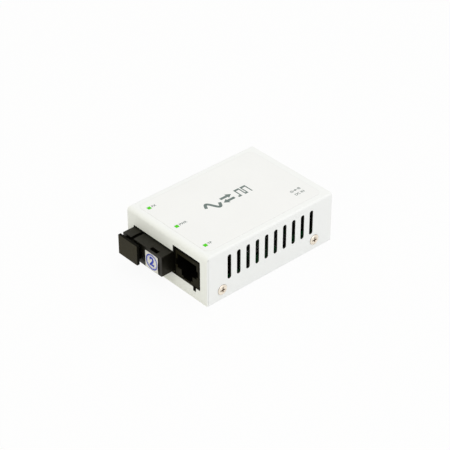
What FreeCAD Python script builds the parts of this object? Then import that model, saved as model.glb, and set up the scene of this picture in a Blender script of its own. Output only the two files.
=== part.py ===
"""Fibre media converter: a folded steel case round a board with a fibre port and a copper port.

Millimetres. +Z is up, the ports face -Y, and the origin is the centre of the case's underside.
Every piece is written as one STEP file in parts/.
"""
import math
import os

import FreeCAD
import Part
from FreeCAD import Vector

# --- case sheet ---------------------------------------------------------------------------
SHEET = 0.6               # thickness of the cover and of the base
BEND = 0.4                # inside radius of every fold but the cover's front one
FRONT_BEND = 1.6          # inside radius of the fold over the cover's front flap
FIT = 0.1                 # play between the base and the cover round it
SEAM = 0.14               # open joint between the front flap and each side wall
SEAM_DROP = 1.2           # the joint's relief hole lies this far below the top
RELIEF_R = 0.35           # radius of that relief hole
REAR_INSET = 0.3          # the rear wall stands this far inside the cover's rear edge
HEADROOM = 4.0            # free height over the copper jack
WINDOW_GAP = 0.5          # gap beside and above a port in its window
WINDOW_SILL = 0.35        # the windows' lower edge lies this far under the board's top
WINDOW_R = 0.6            # corner radius of the port windows

# --- vent slots ---------------------------------------------------------------------------
SLOT_WIDTH = 2.0
SLOT_LENGTH = 12.0
SLOT_PITCH = 5.11
SLOT_DROP = 3.5           # a slot's upper end lies this far below the top
SLOT_MARGIN = 11.0        # least distance from the first and last slot to the cover's ends

# --- screws -------------------------------------------------------------------------------
SCREW_R = 1.45
SCREW_LENGTH = 4.0        # from the cover's surface to the tip
SCREW_HEAD_R = 2.45
SCREW_PROUD = 0.42        # height of the head over the cover
CROWN_SHARE = 0.8         # width of every screw head's crown as a share of the head
TIP_SHARE = 0.8           # width of a screw's tip as a share of its shank
SEAT_SHARE = 0.8          # depth of the head's conical seat as a share of the sheet
SCREW_FRONT = 8.2         # from the cover's front to the first screw
SCREW_REAR = 9.8          # from the cover's rear to the second screw
SCREW_HEIGHT = 4.7        # from the underside
EAR_WIDTH = 9.0
EAR_TOP = 3.3             # height of the ears over the screw's axis
EAR_RELIEF = 0.8          # saw cut at each side of an ear
RECESS_WIDTH = 0.55       # cross recess in every screw
RECESS_SHARE = 0.56       # recess's reach as a share of the head's radius

# --- board and what carries it ------------------------------------------------------------
STANDOFF = 3.7            # height of the board's underside over the base
STANDOFF_R = 2.4
STANDOFF_NECK_R = 1.9     # neck pressed into the base
BOARD = 1.6
BOARD_GAP = 0.4           # gap between the board's edge and the sheet round it
BOARD_SCREW_R = 1.25
BOARD_HEAD_R = 2.3
BOARD_HEAD = 1.5
HEAD_RIM_SHARE = 0.4      # height of the head's upright rim as a share of the head
RECESS_DEPTH_SHARE = 0.7  # depth of its cross recess as a share of the head
NOTCH_GAP = 0.35          # gap round a cover screw's tip in the board's edge
HOLE_GAP = 0.12           # gap round a pin or peg in the board
TAIL = 1.1                # how far pins reach below the board

# --- fibre transceiver --------------------------------------------------------------------
MODULE_LEFT = 4.3         # from the case's left side
MODULE_LENGTH = 39.1
MODULE_NOSE = 6.0         # how far it stands out of the case
MODULE_LIFT = 0.45        # height of its feet
MODULE_WALL = 1.25
MODULE_EDGE_R = 0.35      # rounding of its long edges
PORT_WIDTH = 9.2
PORT_HEIGHT = 7.5
PORT_DEPTH = 15.0
PORT_SIDE_WALL = 1.4      # wall to the left of the port
PORT_FLOOR_WALL = 1.125   # wall over and under the port
BLANK_WIDTH = 12.85       # closed half of the face, to the right of the port
KEY_WIDTH = 1.75
KEY_LENGTH = 7.6
LATCH_WIDTH = 4.6         # rectangular window in the module's top
LATCH_DEPTH = 1.9
LATCH_SHIFT = 0.55        # window's centre from the blank half's centre
LATCH_SETBACK = 0.35      # window's front edge from the module's face
FERRULE_R = 1.25          # fibre bore
SLEEVE_WALL = 1.2
SLEEVE_LENGTH = 10.0      # part of the sleeve that stands in the port
ARM = 0.7                 # thickness of the latch arms
ARM_LENGTH = 4.0
ARM_HEIGHT = 3.2
ARM_PLAY = 0.3            # room behind an arm to flex
HOOK = 0.5                # how far an arm's hook reaches inwards
INSERT_DEPTH = 4.0
CAN_R = 3.1               # optical subassembly
CAN_LENGTH = 9.0
FOOT_R = 0.9              # feet under the module
MODULE_BOARD = 0.8        # its own small board
MODULE_BOARD_RISE = 2.0   # over the module's underside
PIN_R = 0.25
PIN_PITCH = 2.54
PIN_COUNT = 9
PIN_SETBACK = 3.0         # pin row from the module's rear face
STICKER_WIDTH = 8.3
STICKER_HEIGHT = 8.2
STICKER = 0.1
STICKER_SHIFT = 0.18      # sticker's centre from the blank half's centre
STICKER_RISE = 0.15       # from the module's lower edge

# --- dust plug ----------------------------------------------------------------------------
PLATE_WIDTH = 12.0
PLATE_HEIGHT = 9.5
PLATE = 1.3
PLATE_GAP = 1.3           # between the plate and the module's face
PLATE_EDGE_R = 0.1
PLUG_PLAY = 0.15          # gap round the plug's shank
SHANK_LENGTH = 6.3        # part of the shank inside the port
SHANK_TAPER = 0.3         # the shank's end is this much narrower on each side
BORE_PLAY = 0.4           # gap round the ferrule sleeve

# --- copper jack --------------------------------------------------------------------------
JACK_GAP = 0.45           # between the transceiver and the jack
JACK_WIDTH = 15.8
JACK_HEIGHT = 13.5
JACK_LENGTH = 21.3
JACK_RIGHT = 4.75         # from the jack to the case's right side
JACK_SETBACK = 0.3        # jack's face behind the cover's front
CAVITY_WIDTH = 11.8
CAVITY_HEIGHT = 6.9
CAVITY_FLOOR = 3.85       # plug cavity's floor over the board
CAVITY_DEPTH = 12.0
RELIEF_STEP = 0.9         # side relief of the cavity
RELIEF_LOW = 1.2          # its lower edge over the cavity's floor
RELIEF_HIGH = 4.3         # its upper edge over the cavity's floor
TAB_WIDTH = 6.8           # slot for the plug's locking tab
TAB_NARROW = 4.8
TAB_MID = 0.85            # height of the tab slot's narrow part
TAB_FLOOR = 0.5           # wall under the tab slot
JACK_WALL = 1.2
COMB_DEPTH = 1.2          # grooves for the contacts, over the cavity
COMB_BAR = 1.6            # bar in front of the grooves
COMB_PLAY = 0.12          # gap on each side of a contact in its groove
JACK_EDGE_R = 0.25
WIRE = 0.35               # contact wire
WIRE_PITCH = 1.016
WIRE_COUNT = 8
WIRE_SLOPE_DROP = 2.3     # how far a contact's free end hangs into the cavity
PEG_R = 1.55              # plastic pegs that hold the jack in the board
PEG_SPREAD = 11.4
PEG_SETBACK = 8.6         # pegs from the jack's face
KNOCK_WIDTH = 1.8         # notch under the copper window
KNOCK_DEPTH = 1.9
KNOCK_OFFSET = 4.9        # notch's centre from the jack's centre
RIB_PLAY = 0.1            # gap round the jack's rib in the notch
RIB_SETBACK = 0.1         # rib behind the jack's face

# --- isolation transformer, behind the jack -----------------------------------------------
COIL_WIDTH = 7.1
COIL_LENGTH = 12.7
COIL_HEIGHT = 5.6
COIL_GAP = 2.2
COIL_OFFSET = 2.6         # to the left of the jack's centre
LEAD = 0.25               # thickness of bent component leads
LEAD_REACH = 1.3
LEAD_KNEE = 0.55          # a lead bends down at this share of its reach
COIL_LEAD_COUNT = 8       # leads on each side
LEAD_PITCH = 1.27

# --- indicators ---------------------------------------------------------------------------
INDICATOR_PITCH = 17.6
INDICATOR_FRONT = 5.75    # from the cover's front
INDICATOR = 1.7           # side of each window
GUIDE = 1.6               # section of the light guide
GUIDE_PLAY = 0.15         # gap round its tips in the cover
GUIDE_GAP = 1.4           # gap before and behind its legs
GUIDE_CEILING = 0.4       # gap under the cover
GUIDE_BEND = 1.2
FOOT_WIDTH = 3.2
FOOT_HEIGHT = 1.6
RAIL_DROP = 3.2           # cross rail below the guide's runs
LED_WIDTH = 1.6
LED_DEPTH = 0.9
LED_HEIGHT = 0.7
LABEL_MARGIN = 3.0        # from the label to the case's edges
LABEL_R = 2.8
LABEL = 0.13

# --- parts in the middle of the board -----------------------------------------------------
CHIP_ROW = 15.8
CHIP = 10.0               # side of the converter chip's body
CHIP_HEIGHT = 1.4
CHIP_DRAFT = 0.12         # how far a moulded body draws in, as a share of its height
CHIP_LEAD_COUNT = 12      # leads on each side
CHIP_PITCH = 0.65
CHIP_OFFSET = 19.0        # chip's centre from the case's left side
CAN_CAP_R = 3.15          # electrolytic capacitors
CAN_CAP_HEIGHT = 7.7
CAP_GAP = 0.8
CRYSTAL_WIDTH = 4.6
CRYSTAL_LENGTH = 10.8
CRYSTAL_HEIGHT = 3.4
PART_GAP = 1.5            # least gap between neighbours on the board
REGULATOR_WIDTH = 6.5
REGULATOR_DEPTH = 3.5
REGULATOR_HEIGHT = 1.6
CHOKE = 6.0
CHOKE_HEIGHT = 3.2

# --- power inlet --------------------------------------------------------------------------
DC_RIGHT = 10.7           # inlet's axis from the case's right side
DC_WIDTH = 9.0
DC_HEIGHT = 10.9
DC_LENGTH = 14.2
DC_AXIS = 6.4             # axis over the board
DC_FLANGE = 3.3
DC_BORE_R = 3.15
DC_BORE_DEPTH = 9.6
DC_PIN_R = 1.0
DC_ROOT_R = 0.8           # thinner root of the pin, inside the housing
DC_PIN_SETBACK = 0.9      # pin's tip behind the inlet's face
DC_HOLE_PLAY = 0.9        # rear wall's hole is this much larger than the bore
DC_SHOULDER = 0.5         # flange stands this far outside the body
DC_TAG = 0.4              # thickness of the solder tags
DC_TAG_WIDTH = 2.2
DC_PRESS = 0.3            # how far the sprung tag reaches into the bore

# --- worked out ---------------------------------------------------------------------------
MODULE_WIDTH = PORT_SIDE_WALL + PORT_WIDTH + MODULE_WALL + BLANK_WIDTH
MODULE_HEIGHT = PORT_HEIGHT + 2 * PORT_FLOOR_WALL
WIDTH = MODULE_LEFT + MODULE_WIDTH + JACK_GAP + JACK_WIDTH + JACK_RIGHT
HEIGHT = SHEET + STANDOFF + BOARD + JACK_HEIGHT + HEADROOM + SHEET
COIL_FRONT = JACK_SETBACK + JACK_LENGTH + COIL_GAP
MIDDLE_FRONT = max(MODULE_LENGTH - MODULE_NOSE + 2 * GUIDE_GAP + FOOT_WIDTH,
                   COIL_FRONT + COIL_LENGTH + GUIDE_GAP)
DEPTH = MIDDLE_FRONT + CHIP_ROW + DC_LENGTH + SHEET + REAR_INSET

LEFT, RIGHT = -WIDTH / 2, WIDTH / 2
FRONT, REAR = -DEPTH / 2, DEPTH / 2
BOARD_TOP = SHEET + STANDOFF + BOARD
BOARD_UNDER = SHEET + STANDOFF
CEILING = HEIGHT - SHEET
TRAY_SIDE = RIGHT - SHEET - FIT
TRAY_REAR = REAR - REAR_INSET
BOARD_SIDE = TRAY_SIDE - SHEET - BOARD_GAP
TAIL_END = BOARD_UNDER - TAIL

MODULE_X = LEFT + MODULE_LEFT
MODULE_FACE = FRONT - MODULE_NOSE
MODULE_REAR = MODULE_FACE + MODULE_LENGTH
MODULE_Z = BOARD_TOP + MODULE_LIFT
MODULE_TOP = MODULE_Z + MODULE_HEIGHT
PORT_X = MODULE_X + PORT_SIDE_WALL + PORT_WIDTH / 2
BLANK_X = MODULE_X + MODULE_WIDTH - BLANK_WIDTH / 2
PORT_Z = MODULE_Z + MODULE_HEIGHT / 2
PORT_END = MODULE_FACE + PORT_DEPTH
SLEEVE_R = FERRULE_R + SLEEVE_WALL
SLEEVE_TIP = PORT_END - SLEEVE_LENGTH

JACK_X = RIGHT - JACK_RIGHT - JACK_WIDTH / 2
JACK_FACE = FRONT + JACK_SETBACK
CAVITY_Z = BOARD_TOP + CAVITY_FLOOR
CAVITY_TOP = CAVITY_Z + CAVITY_HEIGHT
CAVITY_END = JACK_FACE + CAVITY_DEPTH
COMB_TOP = CAVITY_TOP + COMB_DEPTH
COIL_X = JACK_X - COIL_OFFSET
COIL_Y = FRONT + COIL_FRONT + COIL_LENGTH / 2

GUIDE_TOP = CEILING - GUIDE_CEILING
GUIDE_LEG = MODULE_REAR + GUIDE_GAP + FOOT_WIDTH / 2
INDICATOR_Y = FRONT + INDICATOR_FRONT
INDICATOR_X = [-INDICATOR_PITCH, 0.0, INDICATOR_PITCH]

MIDDLE_Y = FRONT + MIDDLE_FRONT + CHIP_ROW / 2
CHIP_X = LEFT + CHIP_OFFSET
CRYSTAL_X = CHIP_X + CHIP / 2 + LEAD_REACH + PART_GAP + CRYSTAL_WIDTH / 2
REGULATOR_X = CRYSTAL_X + CRYSTAL_WIDTH / 2 + PART_GAP + REGULATOR_WIDTH / 2
DC_X = RIGHT - DC_RIGHT
DC_Z = BOARD_TOP + DC_AXIS
DC_FACE = TRAY_REAR - SHEET
DC_BACK = DC_FACE - DC_LENGTH
DC_BORE_END = DC_FACE - DC_BORE_DEPTH
DC_ARCH = DC_WIDTH / 2 - DC_SHOULDER
DC_SPRING_Y = DC_BORE_END + 2 * DC_TAG

SCREW_Y = [FRONT + SCREW_FRONT, REAR - SCREW_REAR]
STANDOFF_SIDE = LEFT + SCREW_LENGTH + NOTCH_GAP + STANDOFF_R + PART_GAP / 2
REAR_ROW = DC_BACK + DC_LENGTH / 2
STANDOFF_AT = [
    (STANDOFF_SIDE, FRONT + MIDDLE_FRONT + STANDOFF_R),
    (STANDOFF_SIDE, REAR_ROW),
    (DC_X - DC_WIDTH / 2 - PART_GAP - STANDOFF_R, REAR_ROW),
    (BOARD_SIDE - BOARD_GAP - STANDOFF_R, JACK_FACE + JACK_LENGTH + COIL_GAP + STANDOFF_R),
]


# --- drawing helpers ----------------------------------------------------------------------
SAME_POINT = 1e-6


def on_plane(plane, u, v, w):
    """Point (u, v) of the plane "xy", "xz" or "yz", standing w along the third axis."""
    return {"xy": Vector(u, v, w), "xz": Vector(u, w, v), "yz": Vector(w, u, v)}[plane]


def rounded_wire(points, plane, w):
    """Closed outline through (u, v) or (u, v, radius) points, with its corners rounded."""
    corners = []
    for index, point in enumerate(points):
        here = on_plane(plane, point[0], point[1], w)
        radius = point[2] if len(point) > 2 else 0.0
        before = on_plane(plane, *points[index - 1][:2], w) - here
        after = on_plane(plane, *points[(index + 1) % len(points)][:2], w) - here
        before.normalize()
        after.normalize()
        if radius <= 0.0:
            corners.append((here, None, here))
            continue
        middle = before + after
        middle.normalize()
        half = before.getAngle(after) / 2
        reach = radius / math.tan(half)
        sag = radius / math.sin(half) - radius
        corners.append((here + before * reach, here + middle * sag, here + after * reach))
    edges = []
    for index, (start, middle, end) in enumerate(corners):
        last = corners[index - 1][2]
        if last.distanceToPoint(start) > SAME_POINT:
            edges.append(Part.LineSegment(last, start).toShape())
        if middle is not None:
            edges.append(Part.Arc(start, middle, end).toShape())
    return Part.Wire(edges)


def prism(points, plane, start, end):
    """Straight prism on an outline, from start to end along the plane's normal."""
    along = on_plane(plane, 0, 0, end - start)
    return Part.Face(rounded_wire(points, plane, start)).extrude(along)


def strip(path, thickness, bend):
    """Outline of a sheet folded along a path, which is the sheet's right-hand face."""
    steps = [(b[0] - a[0], b[1] - a[1]) for a, b in zip(path, path[1:])]
    steps = [(u / math.hypot(u, v), v / math.hypot(u, v)) for u, v in steps]
    right, left = [], []
    for index, (u, v) in enumerate(path):
        before = steps[max(index - 1, 0)]
        after = steps[min(index, len(steps) - 1)]
        share = thickness / (1 + before[0] * after[0] + before[1] * after[1])
        turn = before[0] * after[1] - before[1] * after[0]
        inner, outer = (0.0, 0.0) if abs(turn) < 1e-9 else (bend, bend + thickness)
        right.append((u, v, outer if turn > 0 else inner))
        shift = (-(before[1] + after[1]) * share, (before[0] + after[0]) * share)
        left.append((u + shift[0], v + shift[1], inner if turn > 0 else outer))
    return right + left[::-1]


def block(x, y, z):
    """Box between (low, high) pairs."""
    return Part.makeBox(x[1] - x[0], y[1] - y[0], z[1] - z[0], Vector(x[0], y[0], z[0]))


def around(middle, size):
    """The (low, high) pair of a size centred on a value."""
    return middle - size / 2, middle + size / 2


def rod(radius, start, end):
    """Cylinder between two points."""
    return Part.makeCylinder(radius, (end - start).Length, start, end - start)


def turned(profile, origin, axis):
    """Profile of (radius, distance, corner radius) points, turned about an axis."""
    face = Part.Face(rounded_wire(profile, "xz", 0.0))
    solid = face.revolve(Vector(), Vector(0, 0, 1), 360)
    solid.Placement = FreeCAD.Placement(origin, FreeCAD.Rotation(Vector(0, 0, 1), axis))
    return solid


def group(shapes):
    """Separate solids kept as one piece of the list."""
    return Part.makeCompound(list(shapes))


def both_sides(shape):
    """A shape on the right and its mirror image on the left."""
    return [shape, shape.mirror(Vector(), Vector(1, 0, 0))]


# --- case ---------------------------------------------------------------------------------
def case_block(inset, low, rear):
    """Block with the case's folded form: rounded along the sides and the front of its top."""
    side, front, top = RIGHT - inset, FRONT + inset, HEIGHT - inset
    radius, front_radius = BEND + max(SHEET - inset, 0.0), FRONT_BEND + max(SHEET - inset, 0.0)
    across = prism([(-side, low), (side, low), (side, top, radius), (-side, top, radius)], "xz", front, rear)
    along = prism([(front, low), (rear, low), (rear, top), (front, top, front_radius)], "yz", -side, side)
    return across.common(along)


def port_window():
    """Stepped window for both ports, with the notch under the copper port."""
    sill = BOARD_TOP - WINDOW_SILL
    left, right = MODULE_X - WINDOW_GAP, JACK_X + JACK_WIDTH / 2 + WINDOW_GAP
    step = JACK_X - JACK_WIDTH / 2 - WINDOW_GAP
    low, high = MODULE_TOP + WINDOW_GAP, BOARD_TOP + JACK_HEIGHT + WINDOW_GAP
    outline = [(left, sill, WINDOW_R), (right, sill, WINDOW_R), (right, high, WINDOW_R),
               (step, high, 0.0), (step, low, 0.0), (left, low, WINDOW_R)]
    window = prism(outline, "xz", FRONT - SHEET, FRONT + SHEET)
    notch = block(around(JACK_X + KNOCK_OFFSET, KNOCK_WIDTH), (FRONT - SHEET, FRONT + SHEET),
                  (sill - KNOCK_DEPTH, sill + WINDOW_R))
    return window.fuse(notch)


def vent_slots():
    """Row of round-ended slots through both side walls."""
    count = int((DEPTH - 2 * SLOT_MARGIN) / SLOT_PITCH) + 1
    top = HEIGHT - SLOT_DROP
    slots = []
    for index in range(count):
        near, far = around((index - (count - 1) / 2) * SLOT_PITCH, SLOT_WIDTH)
        outline = [(y, z, SLOT_WIDTH / 2) for y, z in
                   ((near, top - SLOT_LENGTH), (far, top - SLOT_LENGTH), (far, top), (near, top))]
        slots.append(prism(outline, "yz", LEFT - SHEET, RIGHT + SHEET))
    return slots


def head_depth():
    """Depth of the countersunk part of a cover screw's head."""
    return SEAT_SHARE * SHEET


def top_cover():
    """Top, front flap and both side walls, folded from one sheet."""
    cover = case_block(0.0, 0.0, REAR)
    cover = cover.cut(case_block(SHEET, -SHEET, REAR + SHEET))
    cuts = [port_window()] + vent_slots()
    joint = (FRONT + SHEET, FRONT + SHEET + SEAM)
    relief_z = HEIGHT - SEAM_DROP
    cuts += both_sides(block((RIGHT - SHEET, RIGHT + SHEET), joint, (-SHEET, relief_z)))
    relief_y = FRONT + SHEET + SEAM / 2
    cuts += both_sides(rod(RELIEF_R, Vector(RIGHT - SHEET, relief_y, relief_z),
                           Vector(RIGHT + SHEET, relief_y, relief_z)))
    for y in SCREW_Y:
        cuts.append(rod(SCREW_R + FIT, Vector(LEFT - SHEET, y, SCREW_HEIGHT),
                        Vector(RIGHT + SHEET, y, SCREW_HEIGHT)))
        seat = Part.makeCone(SCREW_R, SCREW_HEAD_R, head_depth(),
                             Vector(RIGHT - head_depth(), y, SCREW_HEIGHT), Vector(1, 0, 0))
        cuts += both_sides(seat)
    hole = GUIDE + 2 * GUIDE_PLAY
    cuts += [block(around(x, hole), around(INDICATOR_Y, hole), (CEILING - SHEET, HEIGHT + SHEET))
             for x in INDICATOR_X]
    return cover.cut(cuts)


def screw_ear(y):
    """Ear folded up from the tray's right edge, with its screw hole."""
    path = [(TRAY_SIDE - 4 * SHEET, 0.0), (TRAY_SIDE, 0.0), (TRAY_SIDE, SCREW_HEIGHT + EAR_TOP)]
    ear = prism(strip(path, SHEET, BEND), "xz", *around(y, EAR_WIDTH))
    return ear.cut(rod(SCREW_R, Vector(0, y, SCREW_HEIGHT), Vector(RIGHT, y, SCREW_HEIGHT)))


def base_tray():
    """Floor and rear wall folded from one sheet, with four screw ears."""
    path = [(FRONT + SHEET + FIT, 0.0), (TRAY_REAR, 0.0), (TRAY_REAR, CEILING - FIT)]
    tray = prism(strip(path, SHEET, BEND), "yz", -TRAY_SIDE, TRAY_SIDE)
    for y in SCREW_Y:
        gap = block((TRAY_SIDE - SHEET - 2 * BEND, RIGHT), around(y, EAR_WIDTH + 2 * EAR_RELIEF),
                    (-SHEET, 2 * SHEET))
        tray = tray.cut(both_sides(gap)).fuse(both_sides(screw_ear(y)))
    cuts = [rod(STANDOFF_NECK_R, Vector(x, y, -SHEET), Vector(x, y, 2 * SHEET)) for x, y in STANDOFF_AT]
    cuts.append(rod(DC_BORE_R + DC_HOLE_PLAY, Vector(DC_X, DC_FACE - SHEET, DC_Z), Vector(DC_X, REAR, DC_Z)))
    room = case_block(SHEET + FIT, 0.0, REAR)
    return tray.common(room).cut(cuts).removeSplitter()


def cross_recess(top, head_r, depth):
    """Tapered cross, to be cut out of a screw head whose crown is at this height."""
    reach = RECESS_SHARE * head_r
    wing = prism([(-reach, top), (reach, top), (reach / 3, top - depth), (-reach / 3, top - depth)],
                 "xz", *around(0.0, RECESS_WIDTH))
    crossed = wing.rotated(Vector(), Vector(0, 0, 1), 90)
    return wing.fuse(crossed)


def screw(profile, crown, head_r, depth, origin, axis):
    """Turned screw with a cross recess, its seat at origin and its head towards axis."""
    body = turned(profile, Vector(), Vector(0, 0, 1)).cut(cross_recess(crown, head_r, depth))
    body.Placement = FreeCAD.Placement(origin, FreeCAD.Rotation(Vector(0, 0, 1), axis))
    return body


def cover_screws():
    """Four countersunk screws that hold the cover to the ears."""
    profile = [(0.0, -SCREW_LENGTH), (TIP_SHARE * SCREW_R, -SCREW_LENGTH),
               (SCREW_R, -SCREW_LENGTH + SCREW_R / 3), (SCREW_R, -head_depth()),
               (SCREW_HEAD_R, 0.0), (SCREW_HEAD_R, SCREW_PROUD / 4),
               (CROWN_SHARE * SCREW_HEAD_R, SCREW_PROUD, SCREW_HEAD_R / 3), (0.0, SCREW_PROUD)]
    screws = []
    for y in SCREW_Y:
        for side in (-1, 1):
            screws.append(screw(profile, SCREW_PROUD, SCREW_HEAD_R, SCREW_PROUD + head_depth(),
                                Vector(side * RIGHT, y, SCREW_HEIGHT), Vector(side, 0, 0)))
    return group(screws)


def label_outline():
    """Round-cornered outline of the top label."""
    x = RIGHT - LABEL_MARGIN
    y = REAR - LABEL_MARGIN
    return [(-x, -y, LABEL_R), (x, -y, LABEL_R), (x, y, LABEL_R), (-x, y, LABEL_R)]


def top_label():
    """Overlay on the top, with openings for the indicator windows."""
    label = prism(label_outline(), "xy", HEIGHT, HEIGHT + LABEL)
    return label.cut([block(around(x, INDICATOR), around(INDICATOR_Y, INDICATOR), (HEIGHT, HEIGHT + LABEL))
                      for x in INDICATOR_X])


def indicator_windows():
    """Three coloured windows set into the label."""
    return group(block(around(x, INDICATOR), around(INDICATOR_Y, INDICATOR), (HEIGHT, HEIGHT + LABEL))
                 for x in INDICATOR_X)


# --- board --------------------------------------------------------------------------------
def wire_x(index):
    """Sideways place of a jack contact."""
    return JACK_X + (index - (WIRE_COUNT - 1) / 2) * WIRE_PITCH


def wire_tail(index):
    """Rear face of a contact's tail; the tails stand in two rows."""
    return CAVITY_END + JACK_WALL + 2.5 * PIN_PITCH / 2 + index % 2 * PIN_PITCH


def pin_places():
    """Where the transceiver's pins stand."""
    middle = MODULE_X + MODULE_WIDTH / 2
    return [(middle + (index - (PIN_COUNT - 1) / 2) * PIN_PITCH, MODULE_REAR - PIN_SETBACK)
            for index in range(PIN_COUNT)]


def dc_tag_places():
    """Centre, width along x and width along y of the power inlet's three solder tags."""
    return [(DC_X, DC_BACK - DC_TAG / 2, DC_TAG_WIDTH, DC_TAG),
            (DC_X, DC_SPRING_Y - DC_TAG / 2, DC_TAG_WIDTH, DC_TAG),
            (DC_X - DC_ARCH - DC_TAG / 2, DC_SPRING_Y, DC_TAG, DC_TAG_WIDTH)]


def circuit_board():
    """Board with edge notches for the cover screws and holes for pins and pegs."""
    front, rear = FRONT + SHEET + BOARD_GAP, DC_FACE - BOARD_GAP
    board = block((-BOARD_SIDE, BOARD_SIDE), (front, rear), (BOARD_UNDER, BOARD_TOP))
    span = (BOARD_UNDER - BOARD, BOARD_TOP + BOARD)
    cuts = []
    for y in SCREW_Y:
        notch = (RIGHT - SCREW_LENGTH - NOTCH_GAP, RIGHT)
        cuts += both_sides(block(notch, around(y, 2 * (SCREW_R + NOTCH_GAP)), span))
    holes = [(x, y, BOARD_SCREW_R + HOLE_GAP) for x, y in STANDOFF_AT]
    holes += [(x, y, PIN_R + HOLE_GAP) for x, y in pin_places()]
    holes += [(JACK_X + side * PEG_SPREAD / 2, JACK_FACE + PEG_SETBACK, PEG_R + HOLE_GAP) for side in (-1, 1)]
    holes += [(wire_x(i), wire_tail(i) - WIRE / 2, WIRE / 2 + 2 * HOLE_GAP) for i in range(WIRE_COUNT)]
    cuts += [rod(r, Vector(x, y, span[0]), Vector(x, y, span[1])) for x, y, r in holes]
    cuts += [block(around(x, wide + 2 * HOLE_GAP), around(y, deep + 2 * HOLE_GAP), span)
             for x, y, wide, deep in dc_tag_places()]
    return board.cut(cuts)


def board_standoffs():
    """Round standoffs pressed into the tray, open for the board's screws."""
    profile = [(BOARD_SCREW_R, 0.0), (STANDOFF_NECK_R, 0.0), (STANDOFF_NECK_R, SHEET),
               (STANDOFF_R, SHEET), (STANDOFF_R, BOARD_UNDER), (BOARD_SCREW_R, BOARD_UNDER)]
    return group(turned(profile, Vector(x, y, 0), Vector(0, 0, 1)) for x, y in STANDOFF_AT)


def board_screws():
    """Pan-head screws that hold the board on its standoffs."""
    length = BOARD + STANDOFF
    profile = [(0.0, -length), (BOARD_SCREW_R, -length), (BOARD_SCREW_R, 0.0), (BOARD_HEAD_R, 0.0),
               (BOARD_HEAD_R, HEAD_RIM_SHARE * BOARD_HEAD),
               (CROWN_SHARE * BOARD_HEAD_R, BOARD_HEAD, BOARD_HEAD / 2), (0.0, BOARD_HEAD)]
    recess = RECESS_DEPTH_SHARE * BOARD_HEAD
    return group(screw(profile, BOARD_HEAD, BOARD_HEAD_R, recess, Vector(x, y, BOARD_TOP), Vector(0, 0, 1))
                 for x, y in STANDOFF_AT)


# --- fibre transceiver --------------------------------------------------------------------
def module_hollow(low, high):
    """L-shaped room for the electronics: the blank half and the space behind the port."""
    left, right = MODULE_X + MODULE_WALL, MODULE_X + MODULE_WIDTH - MODULE_WALL
    inner = PORT_X + PORT_WIDTH / 2 + MODULE_WALL
    front, behind, rear = MODULE_FACE + MODULE_WALL, PORT_END + MODULE_WALL, MODULE_REAR - MODULE_WALL
    outline = [(inner, front), (right, front), (right, rear), (left, rear), (left, behind), (inner, behind)]
    return prism(outline, "xy", low, high)


def fibre_housing():
    """Moulded shell with the keyed port, its latch window and an open underside."""
    right = MODULE_X + MODULE_WIDTH
    outline = [(x, z, MODULE_EDGE_R) for x, z in
               ((MODULE_X, MODULE_Z), (right, MODULE_Z), (right, MODULE_TOP), (MODULE_X, MODULE_TOP))]
    shell = prism(outline, "xz", MODULE_FACE, MODULE_REAR)
    port = block(around(PORT_X, PORT_WIDTH), (MODULE_FACE, PORT_END), around(PORT_Z, PORT_HEIGHT))
    keyway = block(around(PORT_X, KEY_WIDTH), (MODULE_FACE, MODULE_FACE + KEY_LENGTH), (PORT_Z, MODULE_TOP))
    near = MODULE_FACE + LATCH_SETBACK
    latch = block(around(BLANK_X + LATCH_SHIFT, LATCH_WIDTH), (near, near + LATCH_DEPTH),
                  (MODULE_TOP - MODULE_WALL, MODULE_TOP))
    bore = rod(SLEEVE_R, Vector(PORT_X, PORT_END, PORT_Z), Vector(PORT_X, PORT_END + MODULE_WALL, PORT_Z))
    return shell.cut([port, keyway, latch, bore, module_hollow(MODULE_Z, MODULE_TOP - MODULE_WALL)])


def fibre_module_base():
    """Plate that closes the shell's underside, with feet that stand on the board."""
    plate = module_hollow(MODULE_Z, MODULE_Z + PORT_FLOOR_WALL)
    left, right = MODULE_X + 2 * MODULE_WALL + FOOT_R, MODULE_X + MODULE_WIDTH - 2 * MODULE_WALL - FOOT_R
    behind, rear = PORT_END + 2 * MODULE_WALL + FOOT_R, MODULE_REAR - PIN_SETBACK - 2 * FOOT_R
    feet = [rod(FOOT_R, Vector(x, y, BOARD_TOP), Vector(x, y, MODULE_Z))
            for x in (left, right) for y in (behind, rear)]
    holes = [rod(PIN_R, Vector(x, y, BOARD_TOP), Vector(x, y, MODULE_TOP)) for x, y in pin_places()]
    return plate.fuse(feet).cut(holes)


def fibre_module_board():
    """Small board inside the transceiver, on its pins."""
    low = MODULE_Z + MODULE_BOARD_RISE
    front = PORT_END + MODULE_WALL + CAN_LENGTH
    return block((MODULE_X + MODULE_WALL, MODULE_X + MODULE_WIDTH - MODULE_WALL),
                 (front, MODULE_REAR - MODULE_WALL), (low, low + MODULE_BOARD))


def fibre_module_pins():
    """Row of pins from the transceiver's board through the main board."""
    return group(rod(PIN_R, Vector(x, y, TAIL_END), Vector(x, y, MODULE_Z + MODULE_BOARD_RISE))
                 for x, y in pin_places())


def fibre_port_insert():
    """Insert at the back of the port, with two sprung arms that hold a connector."""
    front = PORT_END - INSERT_DEPTH
    body = block(around(PORT_X, PORT_WIDTH), (front, PORT_END), around(PORT_Z, PORT_HEIGHT))
    outer = PORT_WIDTH / 2 - ARM_PLAY
    inner, tip = outer - ARM, front - ARM_LENGTH
    arm = [(outer, front), (outer, tip), (inner, tip), (inner - HOOK, tip + 2 * HOOK), (inner - HOOK, tip + 3 * HOOK),
           (inner, tip + 3 * HOOK), (inner, front)]
    arms = [prism([(PORT_X + side * x, y) for x, y in arm], "xy", *around(PORT_Z, ARM_HEIGHT)) for side in (-1, 1)]
    bore = rod(SLEEVE_R, Vector(PORT_X, front, PORT_Z), Vector(PORT_X, PORT_END, PORT_Z))
    return body.fuse(arms).cut(bore)


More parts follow.
